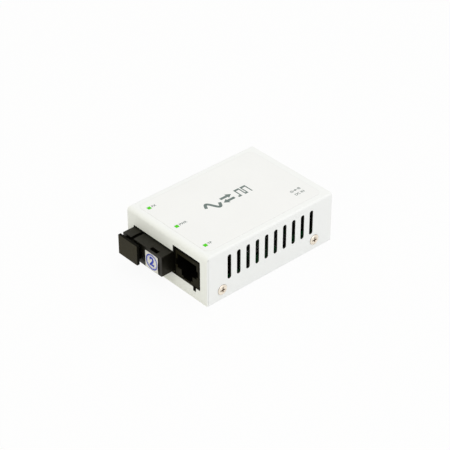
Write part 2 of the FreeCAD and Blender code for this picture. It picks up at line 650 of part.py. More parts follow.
def ferrule_sleeve():
    """Metal sleeve that guides the fibre's ferrule."""
    tip, root = SLEEVE_TIP, PORT_END + MODULE_WALL
    lead = SLEEVE_WALL / 2
    profile = [(FERRULE_R, lead), (FERRULE_R + lead, 0.0), (SLEEVE_R - lead / 2, 0.0), (SLEEVE_R, lead / 2),
               (SLEEVE_R, root - tip), (FERRULE_R, root - tip)]
    return turned(profile, Vector(PORT_X, tip, PORT_Z), Vector(0, 1, 0))


def optical_subassembly():
    """Turned metal can of the laser and receiver, behind the sleeve."""
    profile = [(0.0, 0.0), (SLEEVE_R, 0.0), (CAN_R, SLEEVE_R - FERRULE_R), (CAN_R, 0.55 * CAN_LENGTH),
               (0.85 * CAN_R, 0.55 * CAN_LENGTH), (0.85 * CAN_R, CAN_LENGTH), (0.0, CAN_LENGTH)]
    return turned(profile, Vector(PORT_X, PORT_END + MODULE_WALL, PORT_Z), Vector(0, 1, 0))


def end_sticker():
    """Paper label on the transceiver's face."""
    low = MODULE_Z + STICKER_RISE
    return block(around(BLANK_X + STICKER_SHIFT, STICKER_WIDTH), (MODULE_FACE - STICKER, MODULE_FACE),
                 (low, low + STICKER_HEIGHT))


def dust_plug():
    """Plate and shank in one moulding; the shank is bored to pass over the ferrule sleeve."""
    back = MODULE_FACE - PLATE_GAP
    half_x, half_z = PLATE_WIDTH / 2, PLATE_HEIGHT / 2
    plate = prism([(PORT_X + u * half_x, PORT_Z + v * half_z, PLATE_EDGE_R) for u, v in
                   ((-1, -1), (1, -1), (1, 1), (-1, 1))], "xz", back - PLATE, back)
    end = MODULE_FACE + SHANK_LENGTH
    shank_x, shank_z = PORT_WIDTH / 2 - PLUG_PLAY, PORT_HEIGHT / 2 - PLUG_PLAY
    sections = []
    for y, narrow in ((back, 0.0), (end - 2 * SHANK_TAPER, 0.0), (end, SHANK_TAPER)):
        x, z = shank_x - narrow, shank_z - narrow
        sections.append(rounded_wire([(PORT_X + u * x, PORT_Z + v * z) for u, v in
                                      ((-1, -1), (1, -1), (1, 1), (-1, 1))], "xz", y))
    shank = Part.makeLoft(sections, True, True)
    bore = rod(SLEEVE_R + BORE_PLAY, Vector(PORT_X, SLEEVE_TIP - BORE_PLAY, PORT_Z), Vector(PORT_X, end, PORT_Z))
    return plate.fuse(shank).cut(bore)


# --- copper jack --------------------------------------------------------------------------
def cavity_outline():
    """Front view of the plug's room: body, side reliefs and the stepped slot for the tab."""
    body, relief = CAVITY_WIDTH / 2, CAVITY_WIDTH / 2 + RELIEF_STEP
    tab, narrow = TAB_WIDTH / 2, TAB_NARROW / 2
    floor, shelf = BOARD_TOP + TAB_FLOOR, BOARD_TOP + TAB_FLOOR + TAB_MID
    low, high = CAVITY_Z + RELIEF_LOW, CAVITY_Z + RELIEF_HIGH
    half = [(narrow, floor), (narrow, shelf), (tab, shelf), (tab, CAVITY_Z), (body, CAVITY_Z),
            (body, low), (relief, low), (relief, high), (body, high), (body, CAVITY_TOP)]
    return [(JACK_X + x, z) for x, z in half] + [(JACK_X - x, z) for x, z in half[::-1]]


def copper_jack_housing():
    """Moulded socket with a stepped plug room, contact grooves, two pegs and a rib in the notch."""
    top, rear = BOARD_TOP + JACK_HEIGHT, JACK_FACE + JACK_LENGTH
    half = JACK_WIDTH / 2
    body = prism([(JACK_X + x, z, JACK_EDGE_R) for x, z in
                  ((-half, BOARD_TOP), (half, BOARD_TOP), (half, top), (-half, top))], "xz", JACK_FACE, rear)
    cuts = [prism(cavity_outline(), "xz", JACK_FACE, CAVITY_END)]
    cuts += [block(around(wire_x(i), WIRE + 2 * COMB_PLAY), (JACK_FACE + COMB_BAR, CAVITY_END + JACK_WALL),
                   (CAVITY_TOP, COMB_TOP)) for i in range(WIRE_COUNT)]
    cuts.append(block(around(JACK_X, JACK_WIDTH - 2 * JACK_WALL), (CAVITY_END + JACK_WALL, rear),
                      (BOARD_TOP, top - JACK_WALL)))
    pegs = []
    for side in (-1, 1):
        x, y = JACK_X + side * PEG_SPREAD / 2, JACK_FACE + PEG_SETBACK
        profile = [(0.0, -BOARD - TAIL), (PEG_R / 2, -BOARD - TAIL), (PEG_R, -BOARD), (PEG_R, 0.0), (0.0, 0.0)]
        pegs.append(turned(profile, Vector(x, y, BOARD_TOP), Vector(0, 0, 1)))
    rib = block(around(JACK_X + KNOCK_OFFSET, KNOCK_WIDTH - 2 * RIB_PLAY),
                (JACK_FACE + RIB_SETBACK, FRONT + SHEET + BOARD_GAP - RIB_PLAY),
                (BOARD_TOP - WINDOW_SILL - KNOCK_DEPTH + RIB_PLAY, BOARD_TOP + TAB_FLOOR))
    return body.cut(cuts).fuse(pegs + [rib])


def jack_contact(index):
    """Sprung contact: tail, run under the roof, turn behind the bar and free end in the plug's room."""
    over = COMB_TOP - COMB_PLAY / 2
    near = JACK_FACE + COMB_BAR + COMB_PLAY
    path = [(wire_tail(index), TAIL_END), (wire_tail(index), over), (near, over), (near, over - 3 * WIRE),
            (CAVITY_END - COMB_BAR, CAVITY_TOP - WIRE_SLOPE_DROP)]
    return prism(strip(path, WIRE, WIRE / 4), "yz", *around(wire_x(index), WIRE))


def jack_contact_carrier():
    """Block in the jack's rear room, grooved for the contacts' tails."""
    rear = JACK_FACE + JACK_LENGTH
    top = COMB_TOP - COMB_PLAY / 2 - WIRE
    body = block(around(JACK_X, JACK_WIDTH - 2 * JACK_WALL), (CAVITY_END + JACK_WALL, rear), (BOARD_TOP, top))
    return body.cut([block(around(wire_x(i), WIRE + COMB_PLAY), (wire_tail(i) - 3 * WIRE, rear), (BOARD_TOP, top))
                     for i in range(WIRE_COUNT)])


# --- parts on the board -------------------------------------------------------------------
def gull_lead(height):
    """Outline of a bent lead that leaves a body with its top at a height and lands on the board."""
    knee, foot = LEAD_KNEE * LEAD_REACH, BOARD_TOP + LEAD
    path = [(LEAD_REACH, foot), (knee, foot), (knee, BOARD_TOP + height), (0.0, BOARD_TOP + height)]
    return strip(path, LEAD, LEAD / 4)


def lead_row(middle, body, side, plane, count, pitch, height, width):
    """Row of leads on one side (-1 or 1) of a body; plane "xz" puts the row along y, "yz" along x."""
    across, along = middle if plane == "xz" else middle[::-1]
    outline = [(across + side * (body / 2 + u), v, r) for u, v, r in gull_lead(height)]
    return [prism(outline, plane, *around(along + (index - (count - 1) / 2) * pitch, width))
            for index in range(count)]


def chip_body(middle, width, length, height, lift):
    """Moulded body, drafted above and below the band where its leads leave."""
    draft, band = CHIP_DRAFT * height, LEAD / 2
    sections = []
    for shrink, z in ((draft, 0.0), (0.0, height / 2 - band), (0.0, height / 2 + band), (draft, height)):
        half_x, half_y = width / 2 - shrink, length / 2 - shrink
        sections.append(rounded_wire([(middle[0] + u * half_x, middle[1] + v * half_y) for u, v in
                                      ((-1, -1), (1, -1), (1, 1), (-1, 1))], "xy", BOARD_TOP + lift + z))
    return Part.makeLoft(sections, True, True)


def isolation_transformer():
    """Moulded isolation transformer behind the jack."""
    return chip_body((COIL_X, COIL_Y), COIL_WIDTH, COIL_LENGTH, COIL_HEIGHT, LEAD)


def transformer_leads():
    """Its two rows of leads."""
    height = LEAD + COIL_HEIGHT / 2 + LEAD / 2
    return group(lead for side in (-1, 1) for lead in
                 lead_row((COIL_X, COIL_Y), COIL_WIDTH, side, "xz", COIL_LEAD_COUNT, LEAD_PITCH, height, 2 * LEAD))


def converter_chip():
    """Square chip that turns one signal into the other."""
    return chip_body((CHIP_X, MIDDLE_Y), CHIP, CHIP, CHIP_HEIGHT, LEAD / 2)


def chip_leads():
    """Leads on its four sides."""
    height = LEAD / 2 + CHIP_HEIGHT / 2 + LEAD / 2
    return group(lead for side in (-1, 1) for plane in ("xz", "yz") for lead in
                 lead_row((CHIP_X, MIDDLE_Y), CHIP, side, plane, CHIP_LEAD_COUNT, CHIP_PITCH, height, LEAD))


def clock_crystal():
    """Oval metal can with its rim."""
    half_x, half_y = CRYSTAL_WIDTH / 2, CRYSTAL_LENGTH / 2
    rim = CRYSTAL_HEIGHT / 8

    def oval(shrink):
        x, y = half_x - shrink, half_y - shrink
        return [(CRYSTAL_X + u * x, MIDDLE_Y + v * y, x) for u, v in ((-1, -1), (1, -1), (1, 1), (-1, 1))]
    return prism(oval(0.0), "xy", BOARD_TOP, BOARD_TOP + rim).fuse(
        prism(oval(rim), "xy", BOARD_TOP + rim, BOARD_TOP + CRYSTAL_HEIGHT))


def smoothing_capacitor(index):
    """Round can with the groove where it is crimped."""
    x = STANDOFF_SIDE + STANDOFF_R + CAP_GAP + CAN_CAP_R + index * (2 * CAN_CAP_R + CAP_GAP)
    r, groove = CAN_CAP_R, CAN_CAP_R / 10
    profile = [(0.0, 0.0), (r, 0.0), (r, 3 * groove), (r - groove, 4 * groove), (r, 5 * groove),
               (r, CAN_CAP_HEIGHT, groove), (0.0, CAN_CAP_HEIGHT)]
    return turned(profile, Vector(x, REAR_ROW, BOARD_TOP), Vector(0, 0, 1))


def voltage_regulator():
    """Small moulded regulator."""
    return chip_body((REGULATOR_X, MIDDLE_Y), REGULATOR_WIDTH, REGULATOR_DEPTH, REGULATOR_HEIGHT, LEAD / 2)


def regulator_leads():
    """Its three legs and the wide tab opposite them."""
    middle, height = (REGULATOR_X, MIDDLE_Y), LEAD + REGULATOR_HEIGHT / 2
    legs = lead_row(middle, REGULATOR_DEPTH, -1, "yz", 3, REGULATOR_WIDTH / 3, height, 3 * LEAD)
    tab = lead_row(middle, REGULATOR_DEPTH, 1, "yz", 1, 0.0, height, REGULATOR_WIDTH / 2)
    return group(legs + tab)


def power_choke():
    """Coil on a square foot."""
    x = BOARD_SIDE - BOARD_GAP - CHOKE / 2
    half, foot = CHOKE / 2, CHOKE_HEIGHT / 5
    base = prism([(x + u * half, MIDDLE_Y + v * half, half / 3) for u, v in ((-1, -1), (1, -1), (1, 1), (-1, 1))],
                 "xy", BOARD_TOP, BOARD_TOP + foot)
    profile = [(0.0, foot), (half - foot, foot), (half - foot, CHOKE_HEIGHT - foot), (half - foot / 2, CHOKE_HEIGHT - foot),
               (half - foot / 2, CHOKE_HEIGHT), (0.0, CHOKE_HEIGHT)]
    return base.fuse(turned(profile, Vector(x, MIDDLE_Y, BOARD_TOP), Vector(0, 0, 1)))


def link_led(index):
    """Light source under one leg of the light guide."""
    return block(around(INDICATOR_X[index], LED_WIDTH), around(GUIDE_LEG, LED_DEPTH),
                 (BOARD_TOP, BOARD_TOP + LED_HEIGHT))


def light_guide():
    """Clear moulding that carries light over the ports to the windows in the top."""
    low, rear, front = GUIDE_TOP - GUIDE, GUIDE_LEG + GUIDE / 2, GUIDE_LEG - GUIDE / 2
    tip, heel = INDICATOR_Y - GUIDE / 2, INDICATOR_Y + GUIDE / 2
    outline = [(rear, BOARD_TOP), (rear, GUIDE_TOP, GUIDE_BEND + GUIDE), (heel, GUIDE_TOP), (heel, HEIGHT),
               (tip, HEIGHT), (tip, GUIDE_TOP), (heel, low), (front, low, GUIDE_BEND), (front, BOARD_TOP)]
    guide = block((INDICATOR_X[0], INDICATOR_X[-1]), (front, rear), (low - RAIL_DROP, low - RAIL_DROP + GUIDE))
    pockets = []
    for x in INDICATOR_X:
        foot = block(around(x, FOOT_WIDTH), around(GUIDE_LEG, FOOT_WIDTH), (BOARD_TOP, BOARD_TOP + FOOT_HEIGHT))
        guide = guide.fuse([prism(outline, "yz", *around(x, GUIDE)), foot])
        pockets.append(block(around(x, LED_WIDTH + 2 * GUIDE_PLAY), around(GUIDE_LEG, LED_DEPTH + 2 * GUIDE_PLAY),
                             (BOARD_TOP, BOARD_TOP + LED_HEIGHT + GUIDE_PLAY)))
    return guide.cut(pockets).removeSplitter()


# --- power inlet --------------------------------------------------------------------------
def dc_jack_housing():
    """Moulded inlet: square flange at the rear wall, arched body, round bore and a slot for the sprung tag."""
    flange = block(around(DC_X, DC_WIDTH), (DC_FACE - DC_FLANGE, DC_FACE), (BOARD_TOP, BOARD_TOP + DC_HEIGHT))
    low, high = (DC_X - DC_ARCH, BOARD_TOP), (DC_X + DC_ARCH, DC_Z + DC_ARCH)
    body = prism([low, (high[0], low[1]), (*high, DC_ARCH), (low[0], high[1], DC_ARCH)],
                 "xz", DC_BACK, DC_FACE - DC_FLANGE)
    bore = rod(DC_BORE_R, Vector(DC_X, DC_BORE_END, DC_Z), Vector(DC_X, DC_FACE, DC_Z))
    pin = rod(DC_ROOT_R, Vector(DC_X, DC_BACK, DC_Z), Vector(DC_X, DC_BORE_END, DC_Z))
    slot = block(around(DC_X, DC_TAG_WIDTH + 2 * HOLE_GAP), (DC_SPRING_Y - DC_TAG, DC_FACE - DC_FLANGE),
                 (BOARD_TOP, DC_Z))
    return flange.fuse(body).cut([bore, pin, slot])


def dc_centre_pin():
    """Centre contact with a rounded tip and a thinner root that is moulded in."""
    root, length = DC_BORE_END - DC_BACK, DC_FACE - DC_PIN_SETBACK - DC_BACK
    profile = [(0.0, 0.0), (DC_ROOT_R, 0.0), (DC_ROOT_R, root), (DC_PIN_R, root),
               (DC_PIN_R, length, DC_PIN_R / 2), (0.0, length)]
    return turned(profile, Vector(DC_X, DC_BACK, DC_Z), Vector(0, 1, 0))


def dc_spring_contact():
    """Sprung tag that presses on a plug's barrel from below."""
    under = DC_Z - DC_BORE_R
    path = [(DC_SPRING_Y, TAIL_END), (DC_SPRING_Y, under - 3 * DC_TAG),
            (DC_FACE - DC_FLANGE - DC_TAG, under + DC_PRESS - DC_TAG)]
    return prism(strip(path, DC_TAG, DC_TAG / 2), "yz", *around(DC_X, DC_TAG_WIDTH))


def dc_solder_tags():
    """Tags of the centre pin and of the switch contact."""
    rear = block(around(DC_X, DC_TAG_WIDTH), (DC_BACK - DC_TAG, DC_BACK), (TAIL_END, DC_Z + DC_PIN_R))
    side = block((DC_X - DC_ARCH - DC_TAG, DC_X - DC_ARCH), around(DC_SPRING_Y, DC_TAG_WIDTH), (TAIL_END, DC_Z))
    return group([rear, side])


def pieces():
    """Every piece under its name."""
    makers = [top_cover, base_tray, cover_screws, top_label, indicator_windows, circuit_board, board_standoffs,
              board_screws, fibre_housing, fibre_module_base, fibre_module_board, fibre_module_pins,
              fibre_port_insert, ferrule_sleeve, optical_subassembly, end_sticker, dust_plug, copper_jack_housing,
              jack_contact_carrier, isolation_transformer, transformer_leads, converter_chip, chip_leads,
              clock_crystal, voltage_regulator, regulator_leads, power_choke, light_guide, dc_jack_housing,
              dc_centre_pin, dc_spring_contact, dc_solder_tags]
    named = {make.__name__: make() for make in makers}
    for make, count in ((jack_contact, WIRE_COUNT), (link_led, len(INDICATOR_X)), (smoothing_capacitor, 2)):
        named.update({f"{make.__name__}_{index + 1}": make(index) for index in range(count)})
    return named


def main():
    """Writes the STEP files."""
    os.makedirs("parts", exist_ok=True)
    for name, shape in pieces().items():
        shape.exportStep(f"parts/{name}.step")
        print(f"{name}: {len(shape.Solids)} solids, {shape.Volume:.1f} mm3, valid {shape.isValid()}")


main()
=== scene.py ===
"""Dresses the packed fibre media converter: finishes, printed marks, sticker, solder and studio.

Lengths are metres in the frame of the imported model: +Z is up, and the ports face -Y. Fields that
describe a finish are in millimetres, because every finish reads its place in millimetres.
"""

import logging
import math
from dataclasses import dataclass
from enum import Enum
from functools import cached_property
from typing import Any, Callable, Dict, Iterable, List, Optional, Sequence, Tuple, Union

import bmesh
import bpy
from mathutils import Matrix, Vector


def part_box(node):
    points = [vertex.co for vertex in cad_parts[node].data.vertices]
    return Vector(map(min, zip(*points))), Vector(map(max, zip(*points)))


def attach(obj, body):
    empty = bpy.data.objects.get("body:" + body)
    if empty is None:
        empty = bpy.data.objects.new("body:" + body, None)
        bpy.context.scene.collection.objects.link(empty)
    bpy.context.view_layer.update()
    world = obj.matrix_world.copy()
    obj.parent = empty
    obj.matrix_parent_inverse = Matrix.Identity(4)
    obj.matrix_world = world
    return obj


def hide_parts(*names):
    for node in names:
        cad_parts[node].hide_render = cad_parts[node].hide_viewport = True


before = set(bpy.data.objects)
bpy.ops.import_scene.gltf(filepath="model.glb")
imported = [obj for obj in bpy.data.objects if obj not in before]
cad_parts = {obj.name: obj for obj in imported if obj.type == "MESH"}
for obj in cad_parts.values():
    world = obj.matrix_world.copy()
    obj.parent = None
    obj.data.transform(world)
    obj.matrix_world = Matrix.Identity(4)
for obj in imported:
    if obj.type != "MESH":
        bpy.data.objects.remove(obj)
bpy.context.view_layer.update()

LOG = logging.getLogger("media_converter")
MM = 0.001
CASE_BODY = "case"

Colour = Tuple[float, float, float, float]
Triple = Tuple[float, float, float]
Point = Tuple[float, float]
Shape = bmesh.types.BMesh
Piece = bpy.types.Object
Looks = Dict[Union[int, str], Any]

EVEN: Triple = (1.0, 1.0, 1.0)
WHITE: Colour = (1.0, 1.0, 1.0, 1.0)
DRIFT: Point = (0.3, 0.7)
BLOTCHES: Point = (0.35, 0.65)
MERGE_DISTANCE = 1e-7
SIDES = (-1, 1)
INDICATORS = (-1, 0, 1)


class Across(Enum):
    """Directions in which a metal surface was drawn, as the fineness of its streaks."""

    Y = (1.0, 0.05, 1.0)
    Z = (1.0, 1.0, 0.05)


def tone(red: int, green: int, blue: int) -> Colour:
    """Linear colour of a display colour.

    Args:
        red: red share, 0 to 255.
        green: green share, 0 to 255.
        blue: blue share, 0 to 255.

    Returns:
        The linear colour with a full alpha.
    """
    shares = [part / 255 for part in (red, green, blue)]
    linear = [s / 12.92 if s <= 0.04045 else ((s + 0.055) / 1.055) ** 2.4 for s in shares]
    return (linear[0], linear[1], linear[2], 1.0)


def shade(colour: Colour, share: float) -> Colour:
    """The same colour, lighter or darker by a share."""
    return (colour[0] * share, colour[1] * share, colour[2] * share, 1.0)


# --- shader expressions -------------------------------------------------------------------
class Signal:
    """A socket of a material, on which arithmetic adds the Math nodes that it needs."""

    def __init__(self, shader: "Shader", socket: bpy.types.NodeSocket) -> None:
        """Keep the socket and the material that it belongs to."""
        self.shader = shader
        self.socket = socket

    def _math(self, operation: str, *values: "Term") -> "Signal":
        """Result of a Math node on the values."""
        return self.shader.node("ShaderNodeMath", {"operation": operation}, dict(enumerate(values)))

    def __add__(self, other: "Term") -> "Signal":
        """Sum."""
        return self._math("ADD", self, other)

    def __sub__(self, other: "Term") -> "Signal":
        """Difference."""
        return self._math("SUBTRACT", self, other)

    def __rsub__(self, other: "Term") -> "Signal":
        """Difference from a number on the left."""
        return self._math("SUBTRACT", other, self)

    def __mul__(self, other: "Term") -> "Signal":
        """Product."""
        return self._math("MULTIPLY", self, other)

    def __pow__(self, other: "Term") -> "Signal":
        """Power."""
        return self._math("POWER", self, other)

    def __mod__(self, other: "Term") -> "Signal":
        """Remainder that is never negative."""
        return self._math("FLOORED_MODULO", self, other)

    def __lt__(self, other: "Term") -> "Signal":
        """1 where this is less."""
        return self._math("LESS_THAN", self, other)

    def __gt__(self, other: "Term") -> "Signal":
        """1 where this is more."""
        return self._math("GREATER_THAN", self, other)

    def __abs__(self) -> "Signal":
        """Size without the sign."""
        return self._math("ABSOLUTE", self)

    __radd__ = __add__
    __rmul__ = __mul__

    def least(self, other: "Term") -> "Signal":
        """The smaller of two."""
        return self._math("MINIMUM", self, other)

    def most(self, other: "Term") -> "Signal":
        """The larger of two."""
        return self._math("MAXIMUM", self, other)

    def rise(self, start: float, end: float) -> "Signal":
        """Smooth rise from 0 to 1.

        Args:
            start: value at which the result is 0.
            end: value at which it is 1, below the start for a fall.

        Returns:
            The smoothed result.
        """
        low, high = (0.0, 1.0) if start < end else (1.0, 0.0)
        return self.shader.node("ShaderNodeMapRange", {"interpolation_type": "SMOOTHSTEP"},
                                {0: self, 1: min(start, end), 2: max(start, end), 3: low, 4: high})


Term = Union[Signal, float, int]


class Shader:
    """The node tree of one material or of the world, with one maker for its nodes."""

    def __init__(self, owner: Union[bpy.types.Material, bpy.types.World]) -> None:
        """Start an empty node tree.

        Args:
            owner: the material or the world.
        """
        owner.use_nodes = True
        self.owner = owner
        self.tree = owner.node_tree
        self.tree.nodes.clear()

    def node(self, kind: str, settings: Optional[Dict[str, Any]] = None,
             inputs: Optional[Looks] = None, output: Union[int, str] = 0) -> Signal:
        """Add a node.

        Args:
            kind: the node's type.
            settings: its properties, set before the inputs.
            inputs: values or links by the input's name or number.
            output: name or number of the output that is wanted.

        Returns:
            That output, or the first one.
        """
        made = self.tree.nodes.new(kind)
        for name, value in (settings or {}).items():
            setattr(made, name, value)
        for key, value in (inputs or {}).items():
            if isinstance(value, Signal):
                self.tree.links.new(value.socket, made.inputs[key])
            else:
                made.inputs[key].default_value = value
        return Signal(self, made.outputs[output] if made.outputs else None)

    @cached_property
    def place(self) -> Signal:
        """Place on the object in millimetres."""
        coordinates = self.node("ShaderNodeTexCoord", output="Object")
        return self.node("ShaderNodeVectorMath", {"operation": "SCALE"},
                         {"Vector": coordinates, "Scale": 1 / MM})

    def axes(self) -> Tuple[Signal, Signal, Signal]:
        """Place along X, Y and Z in millimetres."""
        outputs = self.node("ShaderNodeSeparateXYZ", inputs={0: self.place}).socket.node.outputs
        return tuple(Signal(self, outputs[index]) for index in range(3))

    def grain(self, size: float, detail: float = 3.0, stretch: Triple = EVEN,
              swirl: float = 0.0) -> Signal:
        """Soft noise.

        Args:
            size: size of its blotches in millimetres.
            detail: how many finer layers it has.
            stretch: share of its fineness along X, Y and Z.
            swirl: how much it is twisted.

        Returns:
            The noise, mostly between 0.3 and 0.7.
        """
        place = self.node("ShaderNodeMapping", inputs={"Vector": self.place, "Scale": stretch})
        return self.node("ShaderNodeTexNoise", inputs={"Vector": place, "Scale": 1 / size,
                                                       "Detail": detail, "Distortion": swirl})

    def cells(self, size: float, scatter: float = 1.0) -> Signal:
        """Distance from the nearest of many scattered points.

        Args:
            size: spacing of the points in millimetres.
            scatter: 0 for a square grid of points, 1 for a loose one.

        Returns:
            The distance, in units of the spacing.
        """
        return self.node("ShaderNodeTexVoronoi", inputs={"Vector": self.place, "Scale": 1 / size,
                                                         "Randomness": scatter})

    def blend(self, first: Union[Signal, Colour], second: Union[Signal, Colour],
              share: Term) -> Signal:
        """Mix of two colours, from the first at share 0 to the second at 1."""
        return self.node("ShaderNodeMix", {"data_type": "RGBA"}, {0: share, 6: first, 7: second},
                         output=2)

    def relief(self, height: Term, depth: float, under: Optional[Signal] = None) -> Signal:
        """Bump.

        Args:
            height: relief between 0 and 1.
            depth: its depth in millimetres.
            under: bump that it lies on.

        Returns:
            The bent normal.
        """
        inputs: Looks = {"Strength": 1.0, "Distance": depth * MM, "Height": height}
        if under is not None:
            inputs["Normal"] = under
        return self.node("ShaderNodeBump", inputs=inputs)

    def seen(self) -> Signal:
        """Tell apart the rays that show a surface from those that light it.

        Returns:
            1 for rays that come from the camera, a reflection or through glass.
        """
        outputs = self.node("ShaderNodeLightPath").socket.node.outputs
        camera, glossy, through = (Signal(self, outputs[f"Is {kind} Ray"])
                                   for kind in ("Camera", "Glossy", "Transmission"))
        return camera.most(glossy).most(through)

    def close(self, kind: str, surface: Signal) -> Any:
        """Connect the surface to the output of this kind, and give the material or the world."""
        self.node(kind, inputs={"Surface": surface})
        return self.owner


# --- finishes -----------------------------------------------------------------------------
@dataclass(frozen=True)
class Layer:
    """A pattern on a finish, with what it does to the tone, the gloss, the metal and the relief.

    Size and depth are in millimetres. Where the pattern is 1, the tone is a share of its colour,
    or of the finish's own, by its weight.
    """

    size: float
    detail: float = 3.0
    stretch: Triple = EVEN
    swirl: float = 0.0
    dots: bool = False
    span: Optional[Point] = None
    colour: Optional[Colour] = None
    share: Optional[float] = None
    weight: float = 1.0
    gloss: float = 0.0
    dull: float = 0.0
    depth: float = 0.0

    def signal(self, shader: Shader) -> Signal:
        """The pattern, which rises from 0 to 1 over its span where it has one.

        Args:
            shader: the material's nodes.

        Returns:
            The pattern's strength.
        """
        if self.dots:
            made = shader.cells(self.size)
        else:
            made = shader.grain(self.size, self.detail, self.stretch, self.swirl)
        return made.rise(*self.span) if self.span else made


@dataclass(frozen=True)
class Finish:
    """A finish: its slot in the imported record, its main colour, its roughness and its shine.

    It is smoother than its roughness where every pattern on it is 0.
    """

    name: str
    slot: str
    colour: Colour
    rough: float
    smooth: float = 0.1
    metal: float = 0.0
    shine: float = 0.5

    def layers(self) -> Tuple[Layer, ...]:
        """The patterns on the surface, the lowest first."""
        raise NotImplementedError

    def looks(self, shader: Shader) -> Looks:
        """Lay the patterns over each other.

        Args:
            shader: the material's nodes.

        Returns:
            The surface's inputs.
        """
        colour: Any = self.colour
        rough, metal, normal = self.rough - self.smooth, self.metal, None
        for layer in self.layers():
            signal = layer.signal(shader)
            if layer.share is not None:
                tint = shade(layer.colour or self.colour, layer.share)
                colour = shader.blend(colour, tint, signal * layer.weight)
            if layer.gloss:
                rough = signal * layer.gloss + rough
            if layer.dull:
                metal = metal - signal * layer.dull
            if layer.depth:
                normal = shader.relief(signal, layer.depth, normal)
        looks = {"Base Color": colour, "Roughness": rough, "Metallic": metal,
                 "Specular IOR Level": self.shine}
        if normal is not None:
            looks["Normal"] = normal
        return looks

    def material(self) -> bpy.types.Material:
        """The finish's material, made on first use."""
        return bpy.data.materials.get(self.name) or self.build()

    def build(self) -> bpy.types.Material:
        """Make the material.

        Returns:
            The material, under the finish's name.
        """
        shader = Shader(bpy.data.materials.new(self.name))
        surface = shader.node("ShaderNodeBsdfPrincipled", inputs=self.looks(shader))
        return shader.close("ShaderNodeOutputMaterial", surface)


@dataclass(frozen=True, kw_only=True)
class PowderCoat(Finish):
    """Baked powder paint with a fine orange peel, with painted shade on the sheet's inner faces and
    punched edges.
    """

    smooth: float = 0.08
    shine: float = 0.2
    peel: float = 0.55
    peel_depth: float = 0.006
    share: float = 0.985
    skin: float = 0.04
    side: float
    front: float
    rear: float
    low: float = 3.0
    high: float
    seam: float = 1.5
    # painted shade: near-black tone laid on the inner faces and punched edges, where shade falls in
    # the slots and windows
    bare: Colour = (0.045, 0.043, 0.036, 1.0)

    def layers(self) -> Tuple[Layer, ...]:
        """Slow clouds, pale specks and two sizes of orange peel."""
        return (Layer(16.0, span=DRIFT, share=self.share, gloss=0.06),
                Layer(self.peel / 2, dots=True, span=(0.1, 0.5), share=self.share, weight=0.4),
                Layer(self.peel, detail=1.0, gloss=0.10, depth=self.peel_depth),
                Layer(self.peel / 4, detail=1.0, depth=self.peel_depth / 3))

    def looks(self, shader: Shader) -> Looks:
        """The paint, with painted shade on every face behind its skin, apart from the seam at each
        front corner.

        Args:
            shader: the material's nodes.

        Returns:
            The surface's inputs.
        """
        looks = super().looks(shader)
        x, y, z = shader.axes()
        behind = (abs(x) < self.side - self.skin) * (y > self.front + self.skin)
        behind = behind * (y < self.rear - self.skin) * (z > self.low) * (z < self.high)
        seam = (abs(x) > self.side - self.seam) * (y < self.front + self.seam)
        # painted shade: the faces behind the outer skin are darkened, the front corner seams
        # excepted
        looks["Base Color"] = shader.blend(looks["Base Color"], self.bare, behind * (1.0 - seam))
        return looks


@dataclass(frozen=True, kw_only=True)
class LabelFilm(Finish):
    """Satin printed film with a fine matt grain and painted shade along its rim."""

    smooth: float = 0.09
    shine: float = 0.4
    centre: Point
    half: Point
    corner: float
    rim: float = 0.3
    # painted shade: share of the film's tone along its rim, where its edge is in shade
    painted_rim_shade: float = 0.92
    dust: Layer = Layer(3.1, dots=True, span=(0.035, 0.0), share=0.93, weight=0.5)

    def layers(self) -> Tuple[Layer, ...]:
        """A slow drift and the matt grain."""
        return (Layer(22.0, detail=2.0, span=DRIFT, share=0.985, gloss=0.05),
                Layer(0.16, detail=1.0, gloss=0.12, depth=0.0015))

    def looks(self, shader: Shader) -> Looks:
        """The film, with painted shade along its rounded rim, and specks of dust all over it.

        Args:
            shader: the material's nodes.

        Returns:
            The surface's inputs.
        """
        looks = super().looks(shader)
        x, y, _ = shader.axes()
        across, along = ((abs(place - centre) - (half - self.corner)).most(0.0)
                         for place, centre, half in zip((x, y), self.centre, self.half))
        inset = self.corner - (across * across + along * along) ** 0.5
        # painted shade along the rim
        rim_shaded = shader.blend(shade(self.colour, self.painted_rim_shade), looks["Base Color"],
                              inset.rise(0.0, self.rim))
        looks["Base Color"] = shader.blend(rim_shaded, shade(self.colour, self.dust.share),
                                           self.dust.signal(shader) * self.dust.weight)
        return looks


@dataclass(frozen=True)
class Ink(Finish):
    """Screen-printed ink, a little uneven in tone."""

    smooth: float = 0.06

    def layers(self) -> Tuple[Layer, ...]:
        """The ink's uneven film and its pores."""
        return (Layer(0.9, span=DRIFT, share=1.12, gloss=0.12, depth=0.002),
                Layer(0.25, dots=True, span=(0.16, 0.04), share=1.5, weight=0.35))


@dataclass(frozen=True)
class MouldedPlastic(Finish):
    """Moulded plastic with a spark-eroded texture and faint flow marks."""

    smooth: float = 0.09
    shine: float = 0.25
    texture: float = 0.004
    sheen: Colour = (1.0, 0.94, 0.72, 1.0)

    def layers(self) -> Tuple[Layer, ...]:
        """Flow marks, worn places, sink marks and the tool's texture."""
        return (Layer(5.0, stretch=(1.0, 1.0, 0.45), swirl=0.6, span=(0.32, 0.68), share=1.25,
                      gloss=0.08),
                Layer(1.7, detail=4.0, span=(0.5, 0.72), share=1.5, weight=0.25, gloss=-0.05),
                Layer(0.7, detail=2.0, depth=self.texture),
                Layer(0.22, dots=True, gloss=0.10, depth=self.texture))

    def looks(self, shader: Shader) -> Looks:
        """The plastic, with the tint of its reflections."""
        return {**super().looks(shader), "Specular Tint": self.sheen}


